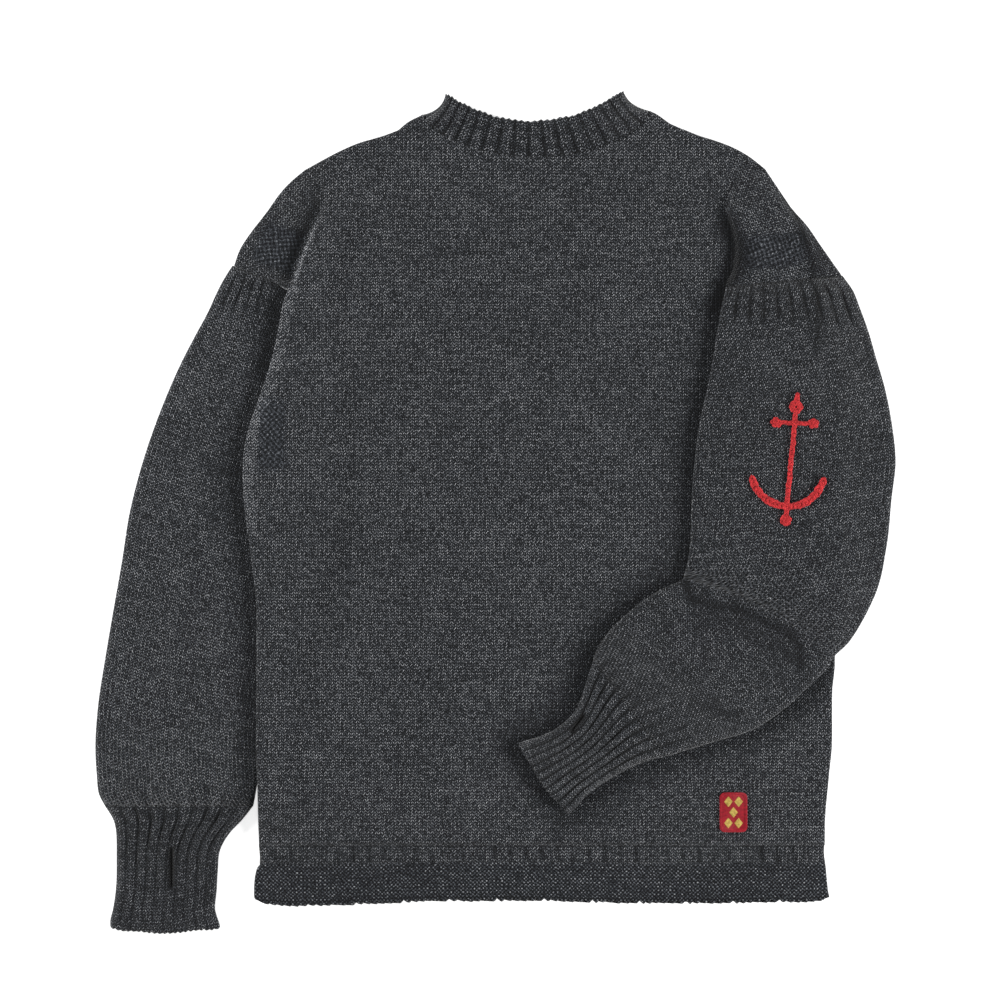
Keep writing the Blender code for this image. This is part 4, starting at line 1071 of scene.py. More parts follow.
def on_front(section, width):
    """The right sleeve lies on the front, then comes down to the table past the body's edge."""
    reach = (section.outer_x - section.inner_x) / width
    height = max(min(section.inner_y, section.outer_y), WELT_SEAM_Y)
    body_edge = float(right_x(min(height, SEAM_LOW_Y))) + SUPPORT_MARGIN
    start = (body_edge - section.inner_x) / reach if reach > 0.5 else width
    room = width - EDGE
    start = min(max(start, EDGE + 8.0), room - 4.0)
    end = min(start + SUPPORT_RUN, room - 1.0)
    low = RIGHT_SUPPORT * (1 - float(smooth((section.outer_x - body_edge) / SUPPORT_RUN)))
    places = [0.0, EDGE, start * 0.5, start, 0.5 * (start + end), end, room, width]
    return places, [RIGHT_SUPPORT] * 4 + [0.5 * (RIGHT_SUPPORT + low), low, low, low]


def bare(x, y):
    """1 everywhere: nothing lies on this tube."""
    return np.ones_like(x)


def under_body(x, y):
    """0 where the body covers the left sleeve and presses it flat."""
    return smooth((left_x(np.minimum(y, SEAM_LOW_Y)) - COVER_MARGIN - x) / COVER_RUN)


print("what carries the right sleeve's widest row, mm:", np.round(on_front(RIGHT_SLEEVE[8], 182.0)[1], 1))


# %% Rings between the rows of a table
def stations(sections, step):
    """Sections about a step apart, on smooth curves through the given ones."""
    table = np.array(sections, float)
    moves = np.diff(table, axis=0)
    lengths = (np.hypot(moves[:, 0], moves[:, 1]) + np.hypot(moves[:, 2], moves[:, 3])) / 2
    keys = np.append(0.0, np.cumsum(lengths))
    counts = [max(round((b - a) / step), 1) for a, b in zip(keys, keys[1:])]
    places = spread(keys, counts)
    fields = [along(list(zip(keys, column)), places) for column in table.T]
    return [Section(*values) for values in zip(*fields)]


print("rings of the left sleeve at 3.4 mm:", len(stations(LEFT_SLEEVE, 3.4)))

# %% [markdown]
# ## Ribs
#
# Ribs are columns of plain and purl stitches: the plain ones stand up and the purl ones pull back
# into a furrow. A bump texture would leave the outline and the rims smooth, so the ribs are raised in
# the mesh. In soft wool no furrow is like the next, and each comes and goes along its length, so
# every one has a depth of its own. Each cuff also folds in at one furrow and shows a narrow slit.

# %% Furrows and slits
RIB_STITCHES = 3  # the wales that show in each rib; the others lie in the furrow
FURROW = 0.11  # half a furrow's width, in ribs
Slit = namedtuple("Slit", "x0 y0 x1 y1 width depth")


def furrow_depth(place, run, weakest, seed):
    """Every furrow's own depth, 0 to 1, which comes and goes along its length in millimetres."""
    draw = random.Random(seed)
    count = int(np.max(place)) + 2
    own = np.array([draw.uniform(weakest, 1.0) for _ in range(count)])
    start = np.array([draw.uniform(0, math.tau) for _ in range(count)])
    number = np.clip(np.round(place).astype(int), 0, count - 1)
    return own[number] * (0.78 + 0.22 * np.sin(run / 7.5 + start[number]))


def rib_wave(place, depth):
    """1 on a rib and 1 - depth in the narrow furrow beside it, for a place counted in ribs."""
    away = np.abs(place - np.round(place))
    return (1 - depth * np.exp(-((away / FURROW) ** 2))) * (0.85 + 0.15 * np.sin(np.pi * np.mod(place, 1)))


def slit_share(x, y, slit):
    """1 in the narrow opening of a cuff, 0 beside it."""
    if slit is None:
        return np.zeros_like(x)
    dx, dy = slit.x1 - slit.x0, slit.y1 - slit.y0
    share = ((x - slit.x0) * dx + (y - slit.y0) * dy) / (dx * dx + dy * dy)
    away = np.abs((x - slit.x0) * dy - (y - slit.y0) * dx) / math.hypot(dx, dy)
    ends = smooth(share / 0.2) * smooth((1 - share) / 0.2)
    return np.exp(-((away / slit.width) ** 2)) * ends


print("a rib's height at its furrow, middle and crest:", rib_wave(np.array([0.0, 0.1, 0.5]), 1.0).round(2))

# %% [markdown]
# ## A tube from its rings
#
# Each tube has four faces: a fine one that shows, one underneath and two inside, so it is open like a
# real sleeve and its ends have the wool's true thickness. A closed band with a Solidify modifier would
# be as fine all round as it is on top. So each face is a grid of its own with one row for each ring,
# and ribbons of triangles close the ends, where a fine row meets a coarse one.

# %% Places on a tube
RIM_BUMP, RIM_PITCH, RIM_WAVE, RIM_RUN = 1.6, 4.7, 1.0, 5.0  # a cuff's uneven cast-off edge
Tube = namedtuple("Tube", "inner across width bow loft rib_share supports run at_rim")


def laid_tube(sections, step, support, has_rim):
    """Every ring of a tube: where it begins, the way across it, and what carries it."""
    rings = stations(sections, step)
    inner = np.array([(s.inner_x, s.inner_y) for s in rings])
    outer = np.array([(s.outer_x, s.outer_y) for s in rings])
    width = np.array([math.hypot(*way) for way in outer - inner])[:, None]
    across = (outer - inner) / width
    bow, loft, rib_share = np.array([(s.bow, s.loft, s.ribs) for s in rings]).T[:, :, None]
    supports = [support(s, w) for s, w in zip(rings, width[:, 0])]
    steps = np.hypot(*np.diff(inner + across * width / 2, axis=0).T)
    run = np.append(0.0, np.cumsum(steps))[:, None]  # the way down the tube to each ring
    way = (inner[-1] - inner[0]) @ np.array([-across[-1, 1], across[-1, 0]])
    at_rim = smooth((run - run[-1] + RIM_RUN) / RIM_RUN) * (np.sign(way) if has_rim else 0.0)
    return Tube(inner, across, width, bow, loft, rib_share, supports, run, at_rim)


def tube_places(tube, d, bumpy=False):
    """Points at some distances across every ring: x, y, carrier, share, way to the edge, roundness."""
    share = np.clip(d / tube.width, 0, 1)
    bumps = np.abs(np.sin(np.pi * d / RIM_PITCH)) if bumpy else 0.0
    bumps = RIM_BUMP * (bumps - 0.6) + RIM_WAVE * swell(d, 0 * d, 38.0, 31)
    bowed = tube.bow * np.sin(np.pi * share) + tube.at_rim * bumps
    x = tube.inner[:, :1] + tube.across[:, :1] * d - tube.across[:, 1:] * bowed
    y = tube.inner[:, 1:] + tube.across[:, 1:] * d + tube.across[:, :1] * bowed
    base = np.array([np.interp(row, *low) for row, low in zip(d, tube.supports)])
    near = np.clip(np.minimum(d, tube.width - d), 0, None)
    return x, y, base, share, near, np.sqrt(1 - (1 - np.clip(near / EDGE, 0, 1)) ** 2)


def lengths(x, y):
    """How far along the knitting each point is."""
    steps = np.hypot(np.diff(x, axis=0), np.diff(y, axis=0))
    return np.vstack([np.zeros_like(x[:1]), np.cumsum(steps, axis=0)])


cuff_run = laid_tube(LEFT_CUFF, 1.8, on_table, True).run
print("length of the left cuff, mm:", round(float(cuff_run[-1, 0]), 1))

# %% The wall that shows
# Painted shade: along the armhole's seam, where the body covers a sleeve, and in a cuff's slit.
SEAM_DUSK, SEAM_DUSK_RUN = 0.45, 1.8  # the stitches picked up at the armhole lie a little lower
COVERED_SHADE = 0.4
SLIT_SHADE = 2.4
ROUND_PLACES = np.array([0.0, 0.3, 0.9, 1.8, 3.2])
Relief = namedtuple(
    "Relief", "creases dusks slit tall_rib rib_fade rib_shade dim",
    defaults=[(), (), None, RIB, 0.0, 1.7, 0.0],
)


def upper_wall(cloth, tube, columns_per_rib, cover, relief):
    """The fine face of a tube: its points' numbers and their knitting coordinates."""
    columns = TUBE_RIBS * columns_per_rib + 1
    d = np.array([
        np.concatenate([ROUND_PLACES, np.linspace(EDGE, w - EDGE, columns), w - ROUND_PLACES[::-1]])
        for w in tube.width[:, 0]
    ])
    x, y, base, share, near, bulge = tube_places(tube, d, bumpy=True)
    bare_share = cover(x, y)
    fade = bare_share * smooth(near / 8.0)
    depth = furrow_depth(share * TUBE_RIBS, tube.run, 0.6, len(tube.run))
    depth = depth * (1 - relief.rib_fade * smooth((tube.run / tube.run[-1] - 0.1) / 0.6))
    wave = rib_wave(share * TUBE_RIBS, depth)
    cut = slit_share(x, y, relief.slit)
    z = base + TUBE * (0.5 + 0.5 * bulge) + tube.loft * np.sin(np.pi * share) ** 0.6 * bare_share
    z += relief.tall_rib * tube.rib_share * wave * fade
    z += (creased(x, y, relief.creases) + 0.3 * swell(x, y, 42.0, 11)) * fade
    # Painted shade in the rib furrows, under the body's edge, along the dusk lines, at the seam and in the
    # slit; dim darkens the whole tube.
    shade = relief.rib_shade * (1 - wave) * tube.rib_share * fade
    shade += COVERED_SHADE * (1 - bare_share) + relief.dim + dimmed(x, y, relief.dusks)
    if relief.slit:
        z -= relief.slit.depth * cut * fade
        u = share * TUBE_RIBS * RIB_STITCHES * STITCH_WIDTH / MM
    else:
        shade += SEAM_DUSK * np.exp(-((tube.run / SEAM_DUSK_RUN) ** 2))
        u = tube.width - d
    v = lengths(x, y)
    shade = np.clip(shade + SLIT_SHADE * cut, 0, SLIT_SHADE)
    return cloth.grid(x, y, z, u, v, shade=shade), u, v


print("relief of a plain tube:", Relief())

# %% The walls that are hidden
INNER_PLACES = 12
INNER_FOLD = WALL + 0.4  # how far in from a tube's edge its inside begins


def lower_wall(cloth, tube, over):
    """The outer face underneath, which shares its edges with the upper one."""
    d = np.array([
        np.concatenate([[0.9, 2.6], places[1:-1], [w - 2.6, w - 0.9]])
        for (places, _), w in zip(tube.supports, tube.width[:, 0])
    ])
    x, y, base, _, _, bulge = tube_places(tube, d)
    under = cloth.grid(x, y, base + TUBE * (0.5 - 0.5 * bulge), tube.width - d, lengths(x, y))
    return np.hstack([over[:, :1], under, over[:, -1:]])


def inner_walls(cloth, tube, cover, slit):
    """The two faces inside the tube, which meet at its folds."""
    d = np.array([
        [INNER_FOLD, *np.linspace(EDGE + 1, w - EDGE - 1, INNER_PLACES), w - INNER_FOLD]
        for w in tube.width[:, 0]
    ])
    x, y, base, share, _, _ = tube_places(tube, d)
    ceiling = base + TUBE + tube.loft * np.sin(np.pi * share) ** 0.6 * cover(x, y) - WALL
    ceiling -= slit.depth * slit_share(x, y, slit) if slit else 0.0
    ceiling[:, [0, -1]] = base[:, [0, -1]] + TUBE / 2
    u, v, inside = tube.width - d, lengths(x, y), slice(1, -1)
    over = cloth.grid(x, y, ceiling, u, v)
    under = cloth.grid(
        x[:, inside], y[:, inside], base[:, inside] + WALL, u[:, inside], v[:, inside]
    )
    return over, np.hstack([over[:, :1], under, over[:, -1:]])


print("places across each inner wall:", INNER_PLACES + 2)

# %% A flat tube
TURNED_START = 300.0  # keeps the stitches counted from the far end apart from the others


def flat_tube(
    name, material, sections, columns_per_rib, support, cover, relief, row_step=3.4, turn=-1
):
    """The shell of a sleeve or cuff. From ring number turn on, stitches count from the far end."""
    cloth = Knit()
    tube = laid_tube(sections, row_step, support, relief.slit is not None)
    over, u, v = upper_wall(cloth, tube, columns_per_rib, cover, relief)
    under = lower_wall(cloth, tube, over)
    over_in, under_in = inner_walls(cloth, tube, cover, relief.slit)
    turn = turn % len(over)
    cloth.weave(over[: turn + 1])
    cloth.weave(over[turn:], (u[turn:], v[-1:] - v[turn:] + TURNED_START))
    for numbers in (under, over_in, under_in):
        cloth.weave(numbers)
    for end in (0, -1):
        cloth.ribbon(over[end], over_in[end])
        cloth.ribbon(under[end], under_in[end])
    return cloth.piece(name, material)


print("rows of the four tables:", [len(t) for t in (LEFT_SLEEVE, LEFT_CUFF, RIGHT_SLEEVE, RIGHT_CUFF)])

# %% [markdown]
# ## The left and the right sleeve
#
# The left sleeve lies on the table and goes in under the body. The right one lies on the front, and
# at its elbow it bends back, so the wool is pushed into a deep crease there and small folds gather
# above the cuff. These few creases are what makes a sleeve look soft, so each is placed one by one.

# %% The left sleeve and its cuff
CUFF_RIB = 1.25
LEFT_CREASES = [
    Crease(-226, 31, -258, 42, 7, -1.3),
    Crease(-225, -2, -258, 4, 8, -1.2),
    Crease(-232, 14, -262, 22, 8, 0.9),
    Crease(-240, 150, -285, 60, 16, 0.7),
    Crease(-262, -60, -300, -190, 20, 0.6),
    Crease(-232, -150, -262, -235, 14, -0.8),
    Crease(-262, -262, -250, -235, 6, -0.9),
    Crease(-285, -264, -280, -236, 6, -0.8),
    Crease(-312, -264, -312, -232, 6, -0.9),
    Crease(-335, -264, -342, -236, 6, -0.8),
]
# Painted shade on the left sleeve beside the body's edge, and in two of its creases.
LEFT_DUSKS = [
    Dusk([(-189, 202), (-195, 186), (-202, 158), (-210, 126)], 8.0, 0.45),
    Dusk([(-226, 31), (-244, 38), (-258, 42)], 5.0, 0.3),
    Dusk([(-225, -2), (-242, 1), (-258, 4)], 6.0, 0.3),
]
left_sleeve = flat_tube(
    "sleeve_left_knit", stocking_wool, LEFT_SLEEVE, 12, on_table, under_body,
    Relief(creases=LEFT_CREASES, dusks=LEFT_DUSKS),
)
LEFT_SLIT = Slit(-291, -298, -291.5, -343, 2.2, 2.6)
left_cuff = flat_tube(
    "cuff_left_knit", ribbed_wool, LEFT_CUFF, 16, on_table, bare,
    Relief(slit=LEFT_SLIT, tall_rib=CUFF_RIB, rib_fade=0.65, rib_shade=1.6, dim=0.2), row_step=1.8,
)

# %% The right sleeve and its cuff
RIGHT_CREASES = [
    Crease(287, 180, 284, 90, 10, 0.9),
    Crease(302, 185, 300, 95, 14, -0.9),
    Crease(214, 190, 196, 120, 10, -0.6),
    Crease(178, -54, 262, -92, 8, 1.1),
    Crease(286, -92, 302, -132, 8, 1.3),
    Crease(172, -66, 236, -99, 7, -1.6),
    Crease(225, -94, 276, -124, 7, -1.6),
    Crease(275, -112, 272, -142, 7, -1.0),
    Crease(230, -130, 140, -116, 14, 0.6),
    Crease(262, -150, 200, -185, 12, -0.9),
    Crease(184, -170, 216, -183, 6, -1.2),
    Crease(150, -135, 112, -160, 6, -0.9),
    Crease(165, -165, 128, -190, 6, -0.9),
    Crease(132, -112, 100, -138, 6, -0.8),
]
# Painted shade in the elbow's crease and below it, in a crease above the cuff and along a crease of the
# shoulder.
RIGHT_DUSKS = [
    Dusk([
        (170, -64), (176, -78), (196, -84), (218, -88), (240, -98), (262, -108), (272, -120),
        (274, -138),
    ], 4.5, 0.95),
    Dusk([(186, -90), (218, -98), (244, -110), (264, -130)], 14.0, 0.45),
    Dusk([(180, -168), (200, -178), (216, -183)], 5.0, 0.45),
    Dusk([(288, 205), (289, 180), (288, 146)], 3.6, 0.6),
]
ELBOW_SECTION = 13
turn = len(stations(RIGHT_SLEEVE[: ELBOW_SECTION + 1], 3.4)) - 1
# dim is painted shade over the whole right sleeve.
right_sleeve = flat_tube(
    "sleeve_right_knit", stocking_wool, RIGHT_SLEEVE, 12, on_front, bare,
    Relief(creases=RIGHT_CREASES, dusks=RIGHT_DUSKS, dim=0.12), turn=turn,
)
RIGHT_SLIT = Slit(81, -180, 66.5, -200, 2.2, 2.6)
right_cuff = flat_tube(
    "cuff_right_knit", ribbed_wool, RIGHT_CUFF, 16, on_front, bare,
    Relief(slit=RIGHT_SLIT, tall_rib=CUFF_RIB, rib_fade=0.1, rib_shade=2.6), row_step=1.8,
)

# %% [markdown]
# ## The neckband
#
# A flat ring of ribs, knitted up from the neckline. Seen from the front it is an arc whose ribs fan
# out at the shoulders, where the ring folds to its back half. A round ring that a simulation presses
# flat would fold at places of its own, so the band is worked out as that arc: every rib runs from a
# place on the seam to a place on the rim.

# %% The neckband's measures
NECK_ROWS = [0.0, 0.03, 0.08, 0.16, 0.26, 0.36, 0.46, 0.56, 0.66, 0.76, 0.85, 0.92, 0.97, 1.0]
NECK_TIP = 3 / (NECK_RIBS * 4)  # the share of the arc over which its folded ends round off
NECK_HEIGHT = 33.0
NECK_TIP_BLUNT = 0.6
NECK_RIB = 1.25
NECK_RIB_SHADE = 1.9
print("ribs round the neck that show:", NECK_RIBS)


# %% The neckband's shell
def neckband_piece(columns_per_rib):
    cloth = Knit()
    share = np.linspace(0, 1, NECK_RIBS * columns_per_rib + 1)[None, :]
    up = np.array(NECK_ROWS)[:, None]
    seam_x = NECK_SEAM.middle + NECK_SEAM.half * fanned(share)
    rim_x = NECK_TOP.middle + NECK_TOP.half * fanned(share)
    seam_y, rim_y = arc_y(NECK_SEAM, seam_x), arc_y(NECK_TOP, rim_x)
    length = np.hypot(rim_x - seam_x, rim_y - seam_y)
    corner = np.abs(2 * share - 1)
    sweep = NECK_SWEEP * 4 * up * (1 - up) * corner**6
    depth = furrow_depth(share * NECK_RIBS, up * NECK_HEIGHT, 0.7, 12) * (0.75 + 0.25 * corner)
    depth = depth * (1 - 0.4 * smooth((up - 0.5) / 0.5) * (1 - corner**2))
    wave = rib_wave(share * NECK_RIBS, depth)
    side = np.where(share < 0.5, 1.0, -1.0)
    rim_bumps = 0.75 * np.cos(4 * np.pi * share * NECK_RIBS)
    rim_bumps = rim_bumps + 0.9 * swell(share * 200.0, 0 * share, 22.0, 8)
    x = seam_x + (rim_x - seam_x) * up + side * sweep * 0.8
    y = seam_y + (rim_y - seam_y) * up - sweep * 0.6
    y = y - NECK_TIP_BLUNT * smooth((corner - 0.93) / 0.07) * up**4
    low_y = y - RIM_BUMP * up**8  # the hidden faces stay behind the rim's bumps
    y = y + rim_bumps * up**8
    tip = np.clip(np.minimum(share, 1 - share) / NECK_TIP, 0, 1)
    bulge = np.sqrt(1 - (1 - tip) ** 2)
    lip = np.clip((1 - up) * length / 1.6, 0, 1)
    lip = 0.55 + 0.45 * np.sqrt(1 - (1 - lip) ** 2)
    foot = 0.55 + 0.45 * smooth(up / 0.12)
    middle = TUBE / 2
    z = middle + (TUBE / 2) * bulge * lip + NECK_RIB * wave * smooth(tip) * foot * lip
    u = share * NECK_RIBS * RIB_STITCHES * STITCH_WIDTH / MM + 0 * up
    v = up * NECK_HEIGHT + 0 * share
    # Painted shade in the furrows between the ribs.
    over = cloth.grid(x, y, z, u, v, shade=NECK_RIB_SHADE * (1 - wave) * tip + 0 * up)

    def plain_face(columns, height):
        """A hidden face through some of the columns."""
        return cloth.grid(x[:, columns], low_y[:, columns], height, u[:, columns], v[:, columns])

    coarse = thinned(share.shape[1], columns_per_rib // 2)[1:-1]
    under = plain_face(coarse, (middle - middle * bulge)[:, coarse])
    under = np.hstack([over[:, :1], under, over[:, -1:]])
    ceiling = np.full_like(x[:, coarse], WALL + TUBE_GAP)
    ceiling[:, [0, -1]] = middle
    over_in = plain_face(coarse, ceiling)
    under_in = plain_face(coarse[1:-1], WALL)
    under_in = np.hstack([over_in[:, :1], under_in, over_in[:, -1:]])
    for numbers in (over, under, over_in, under_in):
        cloth.weave(numbers)
    for end in (0, -1):
        cloth.ribbon(over[end], over_in[end])
        cloth.ribbon(under[end], under_in[end])
    return cloth.piece("neckband_knit", ribbed_wool)


neckband = neckband_piece(16)

# %% [markdown]
# ## The welts
#
# The lower border of a guernsey is split at the sides. Below a narrow band of ribs comes garter
# stitch, rows of knots that stand up as ridges, and its cast-on edge is a row of small bumps. The
# hem isn't straight: it hangs where it was last pulled. A bump texture could fake all of it, but the
# hem is an outline against the floor, so bands, ridges and bumps are all in the mesh.

# %% The welts' measures
WELT_LEFT = [  # y, x
    (-300.4, -213), (-317, -211.8), (-321, -214.7), (-345, -217.4), (-350.5, -214.5), (-352.5, -209),
]
WELT_RIGHT = [
    (-300.4, 296), (-305, 295.6), (-322, 297.5), (-342, 299.5), (-347, 300.5), (-349.3, 297.5),
]
HEM_SAG = [  # share of the width, how far the hem hangs below a straight line
    (0.0, 0.0), (0.05, 1.9), (0.1, 2.3), (0.16, 1.3), (0.23, -0.4), (0.33, -1.3), (0.42, -1.3),
    (0.5, -0.7), (0.58, 0.6), (0.7, 1.8), (0.82, 2.0), (0.88, 1.2), (0.95, 1.7), (1.0, 0.0),
]
SEAM_LAP = 0.5  # how far the welt's first row reaches over its seam
WELT_RIBS = 36
WELT_RIB = RIB * 1.2
GARTER_RIDGES = 11
GARTER_DEPTH = 0.55
HEM_BUMP, HEM_BUMPS, HEM_RUN = 3.0, 72, 3.6  # the bumps' height and count, how far in they begin
HEM_BEHIND = 0.65  # how far in the hem lies between the bumps, and behind them, in bumps
print("ribs across a welt:", WELT_RIBS)


# %% The welts' relief
def welt_side(table, drop):
    """x and y down one side of a welt."""
    y = table[0][0] + (table[-1][0] - table[0][0]) * drop
    return along([(-a, b) for a, b in table], -y), y


def hem_bumps(share):
    """The height, 0 to about 1, of the cast-on edge's bumps."""
    at = share * 500.0
    turns = math.tau * share * HEM_BUMPS
    bumps = 0.5 - 0.5 * np.cos(turns + 1.2 * swell(at, 0 * share, 40.0, 14))
    return bumps**0.7 * (1 + 0.2 * swell(at, 0 * share, 30.0, 15))


def near_line(distance, run):
    """1 on a line and less beside it."""
    return np.exp(-((distance / run) ** 2))


print("bumps at two places of the hem:", hem_bumps(np.array([0.0, 0.007])).round(2))


# %% The welts' shells
def welt_piece(name, bottom_z, face_up, columns_per_rib, row_step):
    """One welt. Its relief is on its outer face: up in front, down on the table behind."""
    cloth = Knit()
    depth = WELT_SEAM_Y - WELT_LEFT[-1][0]
    band = (WELT_SEAM_Y - RIB_BAND_END_Y) / depth
    drop = np.linspace(0, 1, round(depth / row_step) + 1)[:, None]
    share = np.linspace(0, 1, WELT_RIBS * columns_per_rib + 1)[None, :]
    down, to_hem = drop * depth, (1 - drop) * depth
    (left, left_y), (right, right_side_y) = welt_side(WELT_LEFT, drop), welt_side(WELT_RIGHT, drop)
    x = left + (right - left) * share
    y = left_y + (right_side_y - left_y) * share - drop * along(HEM_SAG, share)
    wave = rib_wave(share * WELT_RIBS, furrow_depth(share * WELT_RIBS, 0 * drop, 0.2, 4) + 0 * drop)
    in_band = smooth(down / 1.2) * smooth((band - drop) * depth / 1.2)
    garter = smooth((drop - band) * depth / 1.2)
    turns = GARTER_RIDGES * (drop - band) / (1 - band)
    ridge = (0.5 - 0.5 * np.cos(2 * np.pi * turns)) ** 0.7 + 0 * share
    relief = WELT_RIB * wave * in_band + GARTER_DEPTH * (0.35 + ridge) * garter
    bumps = hem_bumps(share)
    at_hem = smooth(1 - to_hem / HEM_RUN)
    inner_y = y + HEM_BUMP * 0.75 * at_hem
    reach = bumps - HEM_BEHIND if face_up else -HEM_BEHIND  # the welt behind has no bumps
    y = y - HEM_BUMP * reach * at_hem + SEAM_LAP * (drop == 0)
    near = np.minimum(np.minimum(x - left, right - x) / 3.0, to_hem / 2.2)
    bulge = np.sqrt(1 - (1 - np.clip(near, 0, 1)) ** 2)
    thick = WALL * (0.45 + 0.55 * bulge)
    # Painted shade in the rib furrows, between the garter ridges, along the seam and in the notches
    # between the bumps; besides that the garter is a little darker all over and a dark line runs just
    # above the bumps.
    shade = 0.95 * (1 - wave) * in_band + (0.05 + 0.55 * (1 - ridge)) * garter
    shade = shade + 0.4 * near_line(down, 1.2) + 0.5 * near_line(to_hem - HEM_RUN, 0.8)
    shade = shade + 0.8 * (1 - np.clip(bumps, 0, 1)) ** 2 * at_hem
    v = y - WELT_SEAM_Y
    coarse = np.ix_(thinned(x.shape[0], 6), thinned(x.shape[1], columns_per_rib * 3))
    if face_up:
        outer_z, inner_z = bottom_z + thick + relief * bulge, bottom_z
    else:
        outer_z, inner_z = bottom_z + WALL - thick + (relief.max() - relief) * bulge, bottom_z + WALL
    outer = cloth.grid(x, y, outer_z, x, v, garter=garter, shade=np.clip(shade, 0, 1.2))
    inner = cloth.grid(x[coarse], inner_y[coarse], inner_z, x[coarse], v[coarse])
    cloth.weave(outer)
    cloth.weave(inner)
    cloth.close_slab(outer, inner)
    return cloth.piece(name, ribbed_wool)


front_welt = welt_piece("welt_front_knit", WALL + LAYER_GAP, True, 15, 0.6)
back_welt = welt_piece("welt_back_knit", 0.0, False, 5, 1.5)

# %% [markdown]
# ## The anchor in chain stitch
#
# Chain stitch is a row of loops, each pulled out through the one before it, so its line is a string
# of small links that lies on the knitting. A bevelled curve would give a smooth cord instead. So
# every link is a closed loop of yarn, laid on the sleeve by a ray that looks for its surface. The
# anchor is drawn from its own sizes: a shank, a stock, a ring, and arms that are part of a circle.

# %% Paths of the anchor
ANCHOR_PLACE = (261.0, 4.6)
ANCHOR_TILT_DEG = -5.3
SHANK = 84.0
STOCK_HEIGHT, STOCK_HALF = 75.0, 16.8
RING_HEIGHT, RING_RADIUS = 89.5, 3.2
ARM_RADIUS, ARM_DEG = 33.0, 78.0
LEVEL_DEG = 3.6  # the stock and the arms are sewn more level than the shank leans
CROWN_DROP = 11.5
CROWN_KNOT, STOCK_KNOT = 2.2, 1.6
Stitch = namedtuple("Stitch", "length pitch width strand")
WIDE = Stitch(length=6.6, pitch=3.6, width=5.8, strand=1.4)
NARROW = Stitch(length=6.2, pitch=3.8, width=3.1, strand=1.1)
KNOT = Stitch(length=4.6, pitch=2.1, width=3.4, strand=1.2)


def circle_part(centre, radius, start_deg, end_deg, count=40):
    turns = np.radians(np.linspace(start_deg, end_deg, count))
    return np.stack([centre[0] + radius * np.cos(turns), centre[1] + radius * np.sin(turns)], 1)


def straight(start, end):
    return np.linspace(start, end, 20)


def level(path, about):
    """The path, turned back about a place of the shank."""
    turn, about = math.radians(LEVEL_DEG), np.array(about, float)
    back = np.array([[math.cos(turn), math.sin(turn)], [-math.sin(turn), math.cos(turn)]])
    return (path - about) @ back + about


def arm(degrees):
    """One arm, from its tip to the crown."""
    return level(circle_part((0, ARM_RADIUS), ARM_RADIUS, -90 + degrees, -90), (0, 0))


STOCK = level(straight((-STOCK_HALF, STOCK_HEIGHT), (STOCK_HALF, STOCK_HEIGHT)), (0, STOCK_HEIGHT))
RING_TOP = RING_HEIGHT + RING_RADIUS
ANCHOR_PATHS = [
    (straight((0, SHANK), (0, 0)), NARROW),
    (arm(-ARM_DEG), WIDE),
    (arm(ARM_DEG), WIDE),
    (STOCK, NARROW),
    (circle_part((0, RING_HEIGHT), RING_RADIUS, -90, 270), KNOT),
    (straight((0, RING_TOP), (0, RING_TOP + 7)), NARROW),
    (straight((0, 0), (0, -CROWN_DROP)), NARROW),
    (circle_part((0, -CROWN_DROP - 1), CROWN_KNOT, 90, 450), KNOT),
    (circle_part(STOCK[0], STOCK_KNOT, 0, 360), KNOT),
    (circle_part(STOCK[-1], STOCK_KNOT, 0, 360), KNOT),
]
print("paths of the anchor:", len(ANCHOR_PATHS))


# %% Links along the paths
def sleeve_surface(piece):
    """A function that gives the piece's height, in millimetres, above a place."""
    mesh = piece.data
    tree = BVHTree.FromPolygons([v.co for v in mesh.vertices], [p.vertices[:] for p in mesh.polygons])

    def height(x, y):
        hit = tree.ray_cast(Vector((x * MM, y * MM, 0.1)), Vector((0, 0, -1)))[0]
        return hit.z / MM if hit else 0.0

    return height


def chain_links(paths, place, tilt_deg):
    """Where each link begins, the way it runs and how it is sewn."""
    tilt = math.radians(tilt_deg)
    tilted = np.array([[math.cos(tilt), math.sin(tilt)], [-math.sin(tilt), math.cos(tilt)]])
    for path, stitch in paths:
        path = path @ tilted + np.array(place)
        lengths = np.append(0.0, np.cumsum(np.hypot(*np.diff(path, axis=0).T)))
        count = max(round(lengths[-1] / stitch.pitch), 1)
        for k in range(count):
            start, end = (
                np.array([np.interp(lengths[-1] * s / count, lengths, path[:, axis]) for axis in (0, 1)])
                for s in (k, k + 1)
            )
            yield start, (end - start) / max(np.hypot(*(end - start)), 1e-6), stitch


links = list(chain_links(ANCHOR_PATHS, ANCHOR_PLACE, ANCHOR_TILT_DEG))
print("links in the anchor:", len(links))

# %% Links of yarn
SEWN_UNEVENLY = 0.35  # how far a link may lie to either side of its line
AROUND, SIDES = 16, 7  # points round a link, and round its yarn


